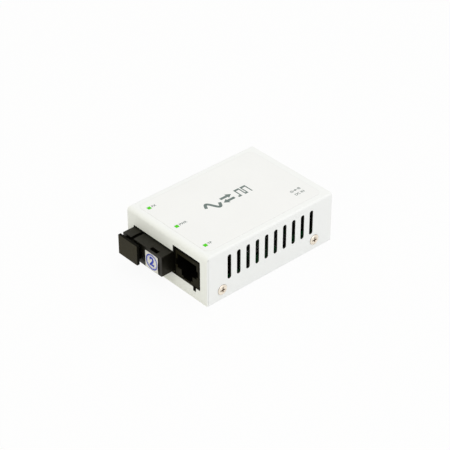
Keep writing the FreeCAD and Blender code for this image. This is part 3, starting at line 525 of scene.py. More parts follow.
@dataclass(frozen=True, kw_only=True)
class ShadedFacePlastic(MouldedPlastic):
    """Moulded plastic with painted shade on every face but the middle of its front face."""

    face: float
    face_depth: float = 0.06
    start: float = -100.0
    edge: float = 100.0
    crown: float = 100.0
    soft: float = 0.3
    # painted shade: near-black tone for the faces behind the front face and round its edges
    painted_shade: Colour = (0.0018, 0.0016, 0.0010, 1.0)
    painted_shade_gloss: float = 0.25

    def looks(self, shader: Shader) -> Looks:
        """The plastic, with painted shade, near black and duller, behind its front face and round
        the edges of that face.

        Args:
            shader: the material's nodes.

        Returns:
            The surface's inputs.
        """
        looks = super().looks(shader)
        x, y, z = shader.axes()
        across = x.rise(self.start, self.start + self.soft)
        across = across * x.rise(self.edge + self.soft, self.edge)
        upright = z.rise(self.crown + self.soft, self.crown)
        # the front face's middle keeps the plastic's tone; everywhere else gets the painted shade
        lit_face = (y < self.face + self.face_depth) * across * upright
        looks["Base Color"] = shader.blend(self.painted_shade, looks["Base Color"], lit_face)
        looks["Roughness"] = looks["Roughness"] + (1.0 - lit_face) * self.painted_shade_gloss
        return looks


@dataclass(frozen=True, kw_only=True)
class PlatedMetal(Finish):
    """Plated metal with drawing marks and a little tarnish."""

    smooth: float = 0.15
    metal: float = 1.0
    along: Across = Across.Z
    tarnish: Colour
    tarnish_weight: float = 0.35

    def layers(self) -> Tuple[Layer, ...]:
        """Clouds of tarnish, pits and drawn streaks."""
        return (Layer(1.1, detail=4.0, swirl=0.4, span=(0.45, 0.75), colour=self.tarnish,
                      share=1.0, weight=self.tarnish_weight, gloss=0.10, dull=0.08),
                Layer(0.35, dots=True, span=(0.14, 0.03), colour=self.tarnish, share=0.6,
                      weight=0.3),
                Layer(0.12, stretch=self.along.value, gloss=0.22, depth=0.002))


@dataclass(frozen=True, kw_only=True)
class ScrewHead(PlatedMetal):
    """Plated screw heads on both sides, dark in the cross and under the rim.

    Reaches are shares of the radius.
    """

    places: Point
    height: float
    radius: float
    crown: float
    cross_depth: Point = (0.06, 0.22)
    cross_reach: Point = (0.66, 0.6)
    rim_reach: Point = (0.93, 0.99)
    rim_weight: float = 0.7
    # painted shade in the cross recess, and painted shadow round the head's rim
    painted_recess_shade: Colour = (0.26, 0.16, 0.07, 1.0)
    shadow: Colour = (0.10, 0.10, 0.09, 1.0)

    def looks(self, shader: Shader) -> Looks:
        """The plating, with painted shade in the cross recess and a painted shadow under the rim.

        Args:
            shader: the material's nodes.

        Returns:
            The surface's inputs.
        """
        looks = super().looks(shader)
        x, y, z = shader.axes()
        aside = abs(y - self.places[0]).least(abs(y - self.places[1]))
        reach = (aside * aside + (z - self.height) ** 2.0) ** 0.5
        cross, rim = (reach.rise(start * self.radius, end * self.radius)
                      for start, end in (self.cross_reach, self.rim_reach))
        cross = cross * (self.crown - abs(x)).rise(*self.cross_depth)
        # painted shade in the cross, then painted shadow round the rim
        crossed = shader.blend(looks["Base Color"], self.painted_recess_shade, cross)
        looks["Base Color"] = shader.blend(crossed, self.shadow, rim * self.rim_weight)
        return looks


@dataclass(frozen=True, kw_only=True)
class SolderMask(Finish):
    """Circuit board: solder mask over copper runs, plated vias and bare laminate at the edges."""

    smooth: float = 0.06
    run_pitch: float = 1.1
    run_width: float = 0.36
    run_share: float = 1.9
    zone: float = 9.0
    zone_scatter: float = 0.7
    zone_limits: Point = (0.42, 0.36)
    via_pitch: float = 3.3
    via_scatter: float = 0.8
    via_hole: float = 0.045
    via_ring: float = 0.11
    via_height: float = 1.5
    via_metal: float = 0.9
    hole: Colour = tone(8, 10, 8)
    # copper plane with painted shade: the board is much darker within this reach of its middle, a
    # little for the copper under the mask, mostly as painted shade inside the case
    pour_and_shade: float = 18.0
    pour_and_shade_share: float = 0.2
    mottle: Layer = Layer(6.0, span=BLOTCHES, share=0.7, weight=0.5)
    relief: float = 0.03
    skin: float = 0.04
    low: float
    high: float
    ply: float = 0.2
    ply_share: float = 0.6
    weave: Layer = Layer(0.3, detail=2.0)
    laminate: Colour = (0.36, 0.33, 0.16, 1.0)
    laminate_gloss: float = 0.35
    plating: Colour = (0.72, 0.50, 0.22, 1.0)

    def layers(self) -> Tuple[Layer, ...]:
        """Uneven gloss."""
        return (Layer(1.2, detail=2.0, gloss=0.12),)

    def looks(self, shader: Shader) -> Looks:
        """Copper runs under the mask, vias through it, and layered laminate on the edges.

        Args:
            shader: the material's nodes.

        Returns:
            The surface's inputs.
        """
        looks = super().looks(shader)
        x, y, z = shader.axes()
        # the middle of the board: copper plane and painted shade
        runs, poured_and_shaded = self._runs(shader, (x, y)), abs(x) < self.pour_and_shade
        ring = shader.cells(self.via_pitch, self.via_scatter)
        via = (ring < self.via_ring) * (ring > self.via_hole) * poured_and_shaded
        tones = ((shade(self.colour, self.pour_and_shade_share), poured_and_shaded),
                 (shade(self.colour, self.run_share * self.pour_and_shade_share), runs * poured_and_shaded),
                 (shade(self.colour, self.mottle.share),
                  self.mottle.signal(shader) * self.mottle.weight),
                 (self.plating, via),
                 (self.hole, (ring < self.via_hole) * poured_and_shaded))
        colour = self.colour
        for tint, share in tones:
            colour = shader.blend(colour, tint, share)
        edge = (z > self.low + self.skin) * (z < self.high - self.skin)
        weave = ((z % self.ply > self.ply / 2) + self.weave.signal(shader)) * 0.5
        laminate = shader.blend(self.laminate, shade(self.laminate, self.ply_share), weave)
        raised = (runs + via * self.via_height).least(self.via_height) * (1.0 - edge)
        return {**looks,
                "Base Color": shader.blend(colour, laminate, edge),
                "Metallic": via * self.via_metal * (1.0 - edge),
                "Roughness": looks["Roughness"] + edge * self.laminate_gloss,
                "Normal": shader.relief(raised, self.relief)}

    def _runs(self, shader: Shader, places: Tuple[Signal, Signal]) -> Signal:
        """Copper runs, lengthwise in some zones of the board and crosswise in others.

        Args:
            shader: the material's nodes.
            places: place along X and Y.

        Returns:
            1 on a run.
        """
        zone = shader.cells(self.zone, self.zone_scatter)
        lengthwise, crosswise = (
            abs((place % self.run_pitch) - self.run_pitch / 2) < self.run_width / 2
            for place in places)
        above, below = self.zone_limits
        return lengthwise * (zone > above) + crosswise * (zone < below)


@dataclass(frozen=True, kw_only=True)
class ChipEpoxy(Finish):
    """Matt moulding compound with a dished pin mark."""

    smooth: float = 0.15
    mark: Point
    mark_radius: float = 0.45
    mark_edge: float = 0.8
    mark_share: float = 2.6
    mark_weight: float = 0.6
    mark_gloss: float = -0.25
    mark_depth: float = 0.08
    top: float
    top_skin: float = 0.1

    def layers(self) -> Tuple[Layer, ...]:
        """Clouds and grit."""
        return (Layer(2.6, span=BLOTCHES, share=1.6), Layer(0.12, gloss=0.3, depth=0.006))

    def looks(self, shader: Shader) -> Looks:
        """Gritty compound, with the round mark on the top face.

        Args:
            shader: the material's nodes.

        Returns:
            The surface's inputs.
        """
        looks = super().looks(shader)
        x, y, z = shader.axes()
        reach = ((x - self.mark[0]) ** 2.0 + (y - self.mark[1]) ** 2.0) ** 0.5
        dish = reach.rise(self.mark_radius, self.mark_radius * self.mark_edge)
        dish = dish * (z > self.top - self.top_skin)
        marked = shade(self.colour, self.mark_share)
        return {**looks,
                "Base Color": shader.blend(looks["Base Color"], marked, dish * self.mark_weight),
                "Roughness": looks["Roughness"] + dish * self.mark_gloss,
                "Normal": shader.relief(1.0 - dish, self.mark_depth, looks["Normal"])}


@dataclass(frozen=True, kw_only=True)
class CapacitorSleeve(Finish):
    """Shrunk sleeve with a pale polarity stripe, over an aluminium can with a scored top.

    Reaches and the stripe's start are shares of the radius.
    """

    centre: Point
    radius: float
    top: float
    rim_depth: float = 0.35
    rim_reach: float = 0.84
    stripe: Colour = (0.55, 0.56, 0.58, 1.0)
    stripe_start: float = 0.62
    stripe_reach: float = 0.9
    dash_half: float = 0.25
    dash_pitch: float = 2.4
    dash_length: float = 1.3
    can: Colour = (0.78, 0.78, 0.80, 1.0)
    can_metal: float = 0.95
    score_half: float = 0.14
    score_reach: float = 0.7
    # painted shade in the score lines
    painted_score_shade: float = 0.55
    score_depth: float = 0.1

    def layers(self) -> Tuple[Layer, ...]:
        """Clouds and a finer unevenness in gloss."""
        return (Layer(1.8, span=BLOTCHES, share=1.5, depth=0.02), Layer(0.4, gloss=0.2))

    def looks(self, shader: Shader) -> Looks:
        """Sleeve on the sides and rim, bare scored metal in the middle of the top.

        Args:
            shader: the material's nodes.

        Returns:
            The surface's inputs.
        """
        looks = super().looks(shader)
        x, y, z = shader.axes()
        dx, dy = x - self.centre[0], y - self.centre[1]
        reach = (dx * dx + dy * dy) ** 0.5
        stripe = dx > self.stripe_start * self.radius
        stripe = stripe * (reach > self.stripe_reach * self.radius)
        dashes = (abs(dy) < self.dash_half) * ((z % self.dash_pitch) < self.dash_length)
        bare = (z > self.top - self.rim_depth) * (reach < self.rim_reach * self.radius)
        score = (abs(dx) < self.score_half).most(abs(dy) < self.score_half) * bare
        score = score * (reach < self.score_reach * self.radius)
        # painted shade in the score lines on the can's top
        metal = shader.blend(self.can, shade(self.can, self.painted_score_shade), score)
        colour = looks["Base Color"]
        for tint, share in ((self.stripe, stripe), (self.colour, stripe * dashes), (metal, bare)):
            colour = shader.blend(colour, tint, share)
        return {**looks, "Base Color": colour, "Metallic": bare * self.can_metal,
                "Normal": shader.relief(1.0 - score, self.score_depth, looks["Normal"])}


@dataclass(frozen=True)
class ClearAcrylic(Finish):
    """Moulded clear acrylic with flow lines."""

    smooth: float = 0.05
    clear: float = 0.85
    bend: float = 1.49

    def layers(self) -> Tuple[Layer, ...]:
        """Lines along the flow."""
        return (Layer(2.2, stretch=(1.0, 0.3, 1.0), swirl=0.5, span=BLOTCHES, share=0.86,
                      gloss=0.12, depth=0.015),)

    def looks(self, shader: Shader) -> Looks:
        """The acrylic, which lets light through."""
        return {**super().looks(shader), "Transmission Weight": self.clear, "IOR": self.bend}


@dataclass(frozen=True, kw_only=True)
class PaintedGlowWindow(Finish):
    """Green window with a painted glow, brightest in the middle; no lamp shines in it."""

    shine: float = 0.1
    across: float
    places: Tuple[float, ...]
    depth: float
    # strength of the painted glow
    glow: float = 0.22
    core: float = 0.8

    def layers(self) -> Tuple[Layer, ...]:
        """Frosted grain."""
        return (Layer(0.14, detail=2.0, gloss=0.2, depth=0.004),)

    def looks(self, shader: Shader) -> Looks:
        """Green film with a painted soft round glow.

        Args:
            shader: the material's nodes.

        Returns:
            The surface's inputs.
        """
        x, y, _ = shader.axes()
        nearest = abs(x - self.places[0])
        for place in self.places[1:]:
            nearest = nearest.least(abs(x - place))
        reach = (nearest * nearest + (y - self.depth) ** 2.0) ** 0.5
        # painted glow, strongest at each window's middle
        painted_glow = reach.rise(self.across * self.core, 0.0)
        colour = shader.blend(shade(self.colour, self.core), self.colour, painted_glow)
        return {**super().looks(shader), "Base Color": colour, "Emission Color": colour,
                "Emission Strength": self.glow}


@dataclass(frozen=True, kw_only=True)
class LampBody(Finish):
    """Small lamp: white moulded body with a yellow-green lens on top."""

    low: float
    body: float = 0.3
    step: float = 0.1
    lens: Colour = (0.62, 0.72, 0.12, 1.0)
    lens_gloss: float = -0.2

    def layers(self) -> Tuple[Layer, ...]:
        """Fine grain, in the tone and in the gloss."""
        return (Layer(0.2, span=DRIFT, share=0.85), Layer(0.2, gloss=0.3, depth=0.005))

    def looks(self, shader: Shader) -> Looks:
        """Lens over the body.

        Args:
            shader: the material's nodes.

        Returns:
            The surface's inputs.
        """
        looks = super().looks(shader)
        start = self.low + self.body
        lens = shader.axes()[2].rise(start, start + self.step)
        return {**looks,
                "Base Color": shader.blend(looks["Base Color"], self.lens, lens),
                "Roughness": looks["Roughness"] + lens * self.lens_gloss}


@dataclass(frozen=True, kw_only=True)
class StickerPaper(Finish):
    """Coated paper with faint fibres and a slightly grey edge."""

    low: Point
    high: Point
    rim: float = 0.5
    rim_weight: float = 0.35
    marks: Layer = Layer(2.5, span=BLOTCHES, share=0.86, weight=0.25)

    def layers(self) -> Tuple[Layer, ...]:
        """Fibres, in the gloss and in the relief."""
        return (Layer(0.35, detail=5.0, stretch=(1.0, 1.0, 0.3), swirl=1.2, gloss=0.2,
                      depth=0.01),)

    def looks(self, shader: Shader) -> Looks:
        """The paper, with handling marks, most of them near the rim.

        Args:
            shader: the material's nodes.

        Returns:
            The surface's inputs.
        """
        x, _, z = shader.axes()
        aside, above = ((place - low).least(high - place)
                        for place, low, high in zip((x, z), self.low, self.high))
        worn = aside.least(above).rise(self.rim, 0.0) * self.rim_weight
        worn = worn + self.marks.signal(shader) * self.marks.weight
        worn_colour = shade(self.colour, self.marks.share)
        return {**super().looks(shader), "Base Color": shader.blend(self.colour, worn_colour, worn)}


GREY_INK = Ink("grey_ink", "label_film", tone(100, 114, 110), 0.5)
BLUE_INK = Ink("blue_ink", "sticker_paper", tone(38, 60, 178), 0.5)
WHITE_INK = Ink("white_board_ink", "board_green", tone(225, 226, 220), 0.6)
HOUSING = MouldedPlastic("black_housing_plastic", "black_plastic", tone(12, 11, 7), 0.38)
INSERT = MouldedPlastic("grey_insert_plastic", "insert_plastic", tone(70, 74, 78), 0.45, shine=0.4)
DULL_NICKEL = PlatedMetal("dull_board_screws", "screw_nickel", tone(84, 82, 78), 0.55,
                          tarnish=tone(50, 48, 42))
TIN = PlatedMetal("tinned_leads", "tinned_lead", tone(205, 207, 210), 0.35,
                  tarnish=tone(120, 120, 118))
GOLD = PlatedMetal("gold_contacts", "gold_contact", tone(232, 190, 104), 0.25,
                   along=Across.Y, tarnish=tone(150, 96, 40))
SPRING = PlatedMetal("drawn_nickel_silver", "nickel_silver", tone(205, 200, 186), 0.32,
                     along=Across.Y, tarnish=tone(128, 118, 96))
ACRYLIC = ClearAcrylic("moulded_clear_acrylic", "clear_acrylic", tone(240, 244, 240), 0.12)
CERAMIC = MouldedPlastic("white_sleeve_ceramic", "insert_plastic", tone(226, 222, 210), 0.3,
                         texture=0.001, shine=0.5, sheen=WHITE)


# --- makers -------------------------------------------------------------------------------
def numbered(stem: str, count: int) -> Tuple[str, ...]:
    """Names of a row of like nodes."""
    return tuple(f"{stem}_{index + 1}" for index in range(count))


def box_mm(name: str) -> Tuple[Vector, Vector]:
    """Lowest and highest corner of a node's box, in millimetres."""
    low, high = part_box(name)
    return low / MM, high / MM


def middle(name: str) -> Vector:
    """Centre of a node's box."""
    low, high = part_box(name)
    return (low + high) / 2


def dress(names: Iterable[str], finish: Finish) -> None:
    """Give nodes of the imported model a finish.

    Args:
        names: the nodes.
        finish: what they are made of.
    """
    for name in names:
        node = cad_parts[name]
        for slot in node.material_slots:
            slot.material = finish.material()
        if not node.material_slots:
            node.data.materials.append(finish.material())
        LOG.info("%s: %s", name, finish.name)


def placed(name: str, data: Any) -> Piece:
    """Put something in the scene.

    Args:
        name: the object's name.
        data: its mesh, curve, light or camera.

    Returns:
        The object.
    """
    made = bpy.data.objects.new(name, data)
    bpy.context.scene.collection.objects.link(made)
    return made


def meshed(name: str, shape: Shape) -> bpy.types.Mesh:
    """Turn a bmesh into a mesh.

    Args:
        name: the mesh's name.
        shape: the bmesh, which is freed.

    Returns:
        The mesh.
    """
    mesh = bpy.data.meshes.new(name)
    shape.to_mesh(mesh)
    shape.free()
    return mesh


def piece(name: str, shape: Shape, finish: Finish) -> Piece:
    """Make a finished bmesh into a piece that rides on the case.

    Args:
        name: the piece's name.
        shape: its mesh in place, which is freed.
        finish: what it is made of.

    Returns:
        The piece's object.
    """
    mesh = meshed(name, shape)
    mesh.materials.append(finish.material())
    made = placed(name, mesh)
    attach(made, CASE_BODY)
    return made


def moved(shape: Shape, x: float = 0.0, y: float = 0.0, z: float = 0.0) -> Shape:
    """The same bmesh, shifted."""
    bmesh.ops.translate(shape, verts=shape.verts, vec=(x, y, z))
    return shape


def scaled(shape: Shape, x: float, y: float) -> Shape:
    """The same bmesh, scaled in its plane."""
    bmesh.ops.scale(shape, verts=shape.verts, vec=(x, y, 1.0))
    return shape


def turned(shape: Shape, angle: float) -> Shape:
    """The same bmesh, turned in its plane."""
    bmesh.ops.rotate(shape, verts=shape.verts, matrix=Matrix.Rotation(angle, 3, "Z"))
    return shape


def grown_verts(grown: Dict[str, List[Any]]) -> List[bmesh.types.BMVert]:
    """The points that an extrusion made."""
    return [item for item in grown["geom"] if isinstance(item, bmesh.types.BMVert)]


def close_up(shape: Shape) -> Shape:
    """Merge doubles and turn every face outwards.

    Args:
        shape: the bmesh.

    Returns:
        The same bmesh.
    """
    bmesh.ops.remove_doubles(shape, verts=shape.verts, dist=MERGE_DISTANCE)
    bmesh.ops.recalc_face_normals(shape, faces=shape.faces)
    return shape


def thicken(shape: Shape, depth: float) -> Shape:
    """Give a flat sheet in the XY plane a thickness below it.

    Args:
        shape: the sheet.
        depth: its thickness.

    Returns:
        The same bmesh as a closed solid.
    """
    bmesh.ops.recalc_face_normals(shape, faces=shape.faces)
    if shape.faces and sum(face.normal.z for face in shape.faces) < 0:
        bmesh.ops.reverse_faces(shape, faces=shape.faces)
    grown = bmesh.ops.extrude_face_region(shape, geom=shape.faces[:])
    bmesh.ops.translate(shape, verts=grown_verts(grown), vec=(0.0, 0.0, depth))
    return close_up(moved(shape, z=-depth))


def joined(shapes: Iterable[Shape]) -> Shape:
    """Join bmeshes.

    Args:
        shapes: the bmeshes, which are freed.

    Returns:
        All of them as one.
    """
    whole = bmesh.new()
    for mesh in [meshed("part", shape) for shape in shapes]:
        whole.from_mesh(mesh)
        bpy.data.meshes.remove(mesh)
    return whole


def grid(columns: int, rows: int, width: float = 1.0, height: float = 1.0) -> Shape:
    """Flat grid of cells round the origin.

    Args:
        columns: cells along X.
        rows: cells along Y.
        width: size along X.
        height: size along Y.

    Returns:
        The grid.
    """
    shape = bmesh.new()
    bmesh.ops.create_grid(shape, x_segments=columns, y_segments=rows, size=0.5)
    return scaled(shape, width, height)


def bar(width: float, height: float) -> Shape:
    """Flat rectangle round the origin."""
    return grid(1, 1, width, height)


def ring(outer: float, inner: float, steps: int) -> Shape:
    """Flat ring round the origin.

    Args:
        outer: its outer radius.
        inner: its inner radius, or 0 for a disc.
        steps: how many sides it has.

    Returns:
        The ring.
    """
    shape = bmesh.new()
    bmesh.ops.create_circle(shape, cap_ends=inner <= 0.0, radius=outer, segments=steps)
    if inner > 0.0:
        grown = bmesh.ops.extrude_edge_only(shape, edges=shape.edges[:])
        share = inner / outer
        bmesh.ops.scale(shape, verts=grown_verts(grown), vec=(share, share, 1.0))
    return shape


def ribbon(line: Callable[[float], Point], width: float, steps: int) -> Shape:
    """Flat ribbon of even width along a line.

    Args:
        line: gives the point at a share from 0 to 1 of the line.
        width: the ribbon's width.
        steps: how many stretches it has.

    Returns:
        The ribbon.
    """
    shape = grid(steps, 1)
    nudge = 1e-3
    for vert in shape.verts:
        share = vert.co.x + 0.5
        here = Vector(line(share))
        along = Vector(line(share + nudge)) - Vector(line(share - nudge))
        side = Vector((-along.y, along.x)).normalized() * width * vert.co.y
        vert.co = (here.x + side.x, here.y + side.y, 0.0)
    return shape


def pointer(length: float, width: float) -> Shape:
    """Flat triangle that points along +X from the origin.

    Args:
        length: size along X.
        width: size along Y.

    Returns:
        The triangle.
    """
    shape = ring(1.0, 0.0, steps=3)
    moved(turned(shape, -math.pi / 2), 0.5)
    plain_length, plain_width = 1.5, math.sqrt(3)
    return scaled(shape, length / plain_length, width / plain_width)


def lettering(words: str, height: float, weight: float = 0.02) -> Shape:
    """Flat lettering round the origin.

    Args:
        words: what it says.
        height: height of its capitals.
        weight: how much its strokes are thickened, as a share of the letters' size.

    Returns:
        The letters as flat faces.
    """
    curve = bpy.data.curves.new("lettering", "FONT")
    curve.body, curve.offset = words, weight
    curve.align_x, curve.align_y = "CENTER", "CENTER"
    curve.resolution_u = 6
    holder = placed("lettering", curve)
    bpy.context.view_layer.update()
    finished = holder.evaluated_get(bpy.context.evaluated_depsgraph_get())
    mesh = bpy.data.meshes.new_from_object(finished)
    shape = bmesh.new()
    shape.from_mesh(mesh)
    bpy.data.objects.remove(holder)
    bpy.data.meshes.remove(mesh)
    bpy.data.curves.remove(curve)
    capitals = 0.69
    return scaled(shape, height / capitals, height / capitals)


def spun(profile: Sequence[Point], steps: int) -> Shape:
    """Outline spun round the upright axis.

    Args:
        profile: its (radius, height) points.
        steps: how many sides it has.

    Returns:
        The closed body.
    """
    shape = bmesh.new()
    verts = [shape.verts.new((radius, 0.0, height)) for radius, height in profile]
    edges = [shape.edges.new(pair) for pair in zip(verts, verts[1:])]
    bmesh.ops.spin(shape, geom=verts + edges, cent=(0.0, 0.0, 0.0), axis=(0.0, 0.0, 1.0),
                   angle=2 * math.pi, steps=steps, use_merge=True)
    return close_up(shape)


def feet(name: str, reach: float = 0.2 * MM, apart: float = 0.9 * MM) -> List[Vector]:
    """Centres of the lowest ends of a node's pins.

    Args:
        name: the node.
        reach: height over its lowest point that counts as an end.
        apart: least distance between two ends.

    Returns:
        One point for each end.
    """
    points = [vert.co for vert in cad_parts[name].data.vertices]
    lowest = min(point.z for point in points)
    groups: List[List[Vector]] = []
    for point in (p for p in points if p.z < lowest + reach):
        near = next((g for g in groups if (g[0].xy - point.xy).length < apart), None)
        if near is None:
            groups.append([point])
        else:
            near.append(point)
    return [sum(group, Vector()) / len(group) for group in groups]


CONTACTS = numbered("jack_contact", 8)


# --- sub-assemblies -----------------------------------------------------------------------
@dataclass
class Case:
    """Folded cover, base tray and their screws."""

    bend: float = 2.2

    def build(self) -> List[Piece]:
        """Dress the sheet parts and the screws.

        Returns:
            No pieces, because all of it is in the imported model.
        """
        low, high = box_mm("top_cover")
        dress(("top_cover", "base_tray"), PowderCoat(
            "white_powder_coat", "case_paint", tone(242, 243, 242), 0.5, side=high.x,
            front=low.y, rear=box_mm("base_tray")[1].y, high=high.z - self.bend))
        low, high = box_mm("cover_screws")
        radius = (high.z - low.z) / 2
        dress(("cover_screws",), ScrewHead(
            "screw_heads", "screw_nickel", tone(242, 232, 216), 0.34, tarnish=tone(150, 108, 62),
            places=(low.y + radius, high.y - radius), height=low.z + radius, radius=radius,
            crown=high.x))
        return []


@dataclass
class TopLabel:
    """Printed film on the cover, with its windows and marks.

    The wave, shaft, head and train of the converter mark have their lengths and shifts as shares
    of a third of it, and their heights as shares of its swing to one side.
    """

    corner: float = 2.8 * MM
    ink_depth: float = 0.01 * MM
    ink_gap: float = 0.004 * MM
    rim: float = 0.04 * MM
    sharp_angle: float = 1.0
    legends: Tuple[str, ...] = ("FX", "PWR", "TP")
    legend_height: float = 1.25 * MM
    legend_gap: float = 0.45 * MM
    mark_centre: Point = (-1.3 * MM, -0.45 * MM)
    mark_length: float = 24.0 * MM
    mark_height: float = 7.6 * MM
    stroke: float = 1.4 * MM
    wave_length: float = 0.9
    wave_height: float = 0.8
    shaft_length: float = 0.46
    shaft_shift: float = 0.12
    head_length: float = 0.3
    head_shift: float = 0.11
    head_strokes: float = 2.2
    train_length: float = 0.95
    train_height: float = 1.7
    train_shift: float = 1.02
    power_mark: Point = (13.1 * MM, 24.9 * MM)
    power_words: Point = (15.9 * MM, 24.9 * MM)
    power_height: float = 1.3 * MM
    power_ring: float = 0.75 * MM
    power_dot: float = 0.5 * MM
    power_reach: float = 2.0 * MM
    power_gap: float = 0.45 * MM
    power_line: float = 0.22 * MM

    def build(self) -> List[Piece]:
        """Make the film and its print.

        Returns:
            The film and the printed pieces.
        """
        self.low, self.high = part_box("top_label")
        self.centre = (self.low + self.high) / 2
        self.window_low, self.window_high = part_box("indicator_windows")
        self.window = self.window_high.y - self.window_low.y
        self.pitch = (self.window_high.x - self.window_low.x - self.window) / 2
        self.top = self.high.z - self.ink_depth - self.ink_gap
        half = (self.high - self.low) / 2 / MM
        film = piece("label_film", self._film(), LabelFilm(
            "white_label_film", "label_film", tone(241, 241, 240), 0.42,
            centre=(self.centre.x / MM, self.centre.y / MM), half=(half.x, half.y),
            corner=self.corner / MM))
        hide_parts("top_label")
        # painted glow in the indicator windows
        dress(("indicator_windows",), PaintedGlowWindow(
            "lit_green_window", "indicator_green", tone(76, 196, 0), 0.35,
            across=self.window / MM, places=tuple(index * self.pitch / MM for index in INDICATORS),
            depth=middle("indicator_windows").y / MM))
        return [film,
                self._print("indicator_legends", self._legends()),
                self._print("converter_mark", [self._converter_mark()]),
                self._print("power_mark", [self._power_mark()])]

    def _film(self) -> Shape:
        """Rounded film with three square windows.

        Returns:
            The film as a closed solid with a softened rim.
        """
        shape = bar(self.high.x - self.low.x, self.high.y - self.low.y)
        bmesh.ops.bevel(shape, geom=shape.verts[:], offset=self.corner, affect="VERTICES",
                        segments=8, profile=0.5, material=-1)
        half = self.window / 2
        depth = (self.window_low.y + self.window_high.y) / 2
        cuts = [((0.0, depth + side * half, 0.0), (0.0, 1.0, 0.0)) for side in SIDES]
        cuts += [((index * self.pitch + side * half, 0.0, 0.0), (1.0, 0.0, 0.0))
                 for index in INDICATORS for side in SIDES]
        for place, normal in cuts:
            bmesh.ops.bisect_plane(shape, geom=shape.verts[:] + shape.edges[:] + shape.faces[:],
                                   plane_co=place, plane_no=normal)
        spots = [(face, face.calc_center_median()) for face in shape.faces]
        inside = [face for face, spot in spots if abs(spot.y - depth) < half
                  and min(abs(spot.x - index * self.pitch) for index in INDICATORS) < half]
        bmesh.ops.delete(shape, geom=inside, context="FACES")
        thicken(shape, self.top - self.low.z)
        rim = [edge for edge in shape.edges
               if edge.is_manifold and edge.calc_face_angle() > self.sharp_angle
               and all(vert.co.z > -MERGE_DISTANCE for vert in edge.verts)]
        bmesh.ops.bevel(shape, geom=rim, offset=self.rim, affect="EDGES", segments=2,
                        profile=0.5, material=-1)
        return close_up(moved(shape, self.centre.x, self.centre.y, self.top))

    def _print(self, name: str, marks: Sequence[Shape]) -> Piece:
        """Lay flat marks on the film as a thin layer of ink.

        Args:
            name: the piece's name.
            marks: the marks, in place, reading along +Y.

        Returns:
            The printed piece.
        """
        shape = thicken(joined(marks), self.ink_depth)
        return piece(name, moved(shape, z=self.top + self.ink_depth), GREY_INK)

    @staticmethod
    def _lay(shape: Shape, place: Point) -> Shape:
        """Turn a mark so that it reads along +Y, and move it from the origin to its place."""
        return moved(turned(shape, math.pi / 2), *place)

    def _legends(self) -> List[Shape]:
        """Make the legends.

        Returns:
            One short legend behind each window.
        """
        made = []
        for index, words in zip(INDICATORS, self.legends):
            text = lettering(words, self.legend_height)
            length = max(vert.co.x for vert in text.verts)
            start = self.window_high.y + self.legend_gap + length
            made.append(self._lay(text, (index * self.pitch, start)))
        return made

    def _converter_mark(self) -> Shape:
        """Plain pictogram of a light wave that becomes pulses.

        Returns:
            A wave, two opposite arrows and a square pulse train, each on a third of the mark.
        """
        third = self.mark_length / 3
        swing = (self.mark_height - self.stroke) / 2

        def wave(share: float) -> Point:
            """Point of a sine wave over the first third."""
            height = self.wave_height * swing * math.sin(2 * math.pi * share)
            return ((share - 0.5) * third * self.wave_length - third, height)

        shapes = [ribbon(wave, self.stroke, steps=40)]
        for side in SIDES:
            shaft = bar(third * self.shaft_length, self.stroke)
            head = pointer(third * self.head_length, self.stroke * self.head_strokes)
            if side < 0:
                turned(head, math.pi)
            shapes += [moved(shaft, -side * third * self.shaft_shift, side * self.stroke),
                       moved(head, side * third * self.head_shift, side * self.stroke)]
        shapes.append(self._pulses(third, swing))
        return self._lay(joined(shapes), self.mark_centre)

    def _pulses(self, third: float, swing: float) -> Shape:
        """Square pulse train over the last third.

        Args:
            third: length of the train's share of the mark.
            swing: its height over and under the middle.

        Returns:
            The train as one flat strip.
        """
        columns, rows, period = 13, 5, 6
        shape = grid(columns, rows)
        dark = []
        for face in shape.faces:
            spot = face.calc_center_median()
            column, row = int((spot.x + 0.5) * columns), int((spot.y + 0.5) * rows)
            step = column % period
            low = row == 0 and step < 3
            high = column > 0 and (step in (0, 2) or (row == rows - 1 and step > 2))
            if not (low or high):
                dark.append(face)
        bmesh.ops.delete(shape, geom=dark, context="FACES")
        scaled(shape, third * self.train_length, swing * self.train_height)
        return moved(shape, third * self.train_shift)

    def _power_mark(self) -> Shape:
        """Centre-positive polarity symbol with a short legend beside it.

        Returns:
            The symbol and the legend.
        """
        radius, line, reach = self.power_ring, self.power_line, self.power_reach
        shapes = [ring(self.power_dot, 0.0, steps=20)]
        for side in SIDES:
            lead = bar(reach - radius - self.power_gap, line)
            shapes += [moved(ring(radius, radius - line, steps=28), side * reach),
                       moved(bar(radius, line), side * reach),
                       moved(lead, side * (reach - radius + self.power_gap) / 2)]
        shapes.append(moved(bar(line, radius), reach))
        words = lettering("DC IN", self.power_height)
        return joined([self._lay(joined(shapes), self.power_mark),
                       self._lay(words, self.power_words)])


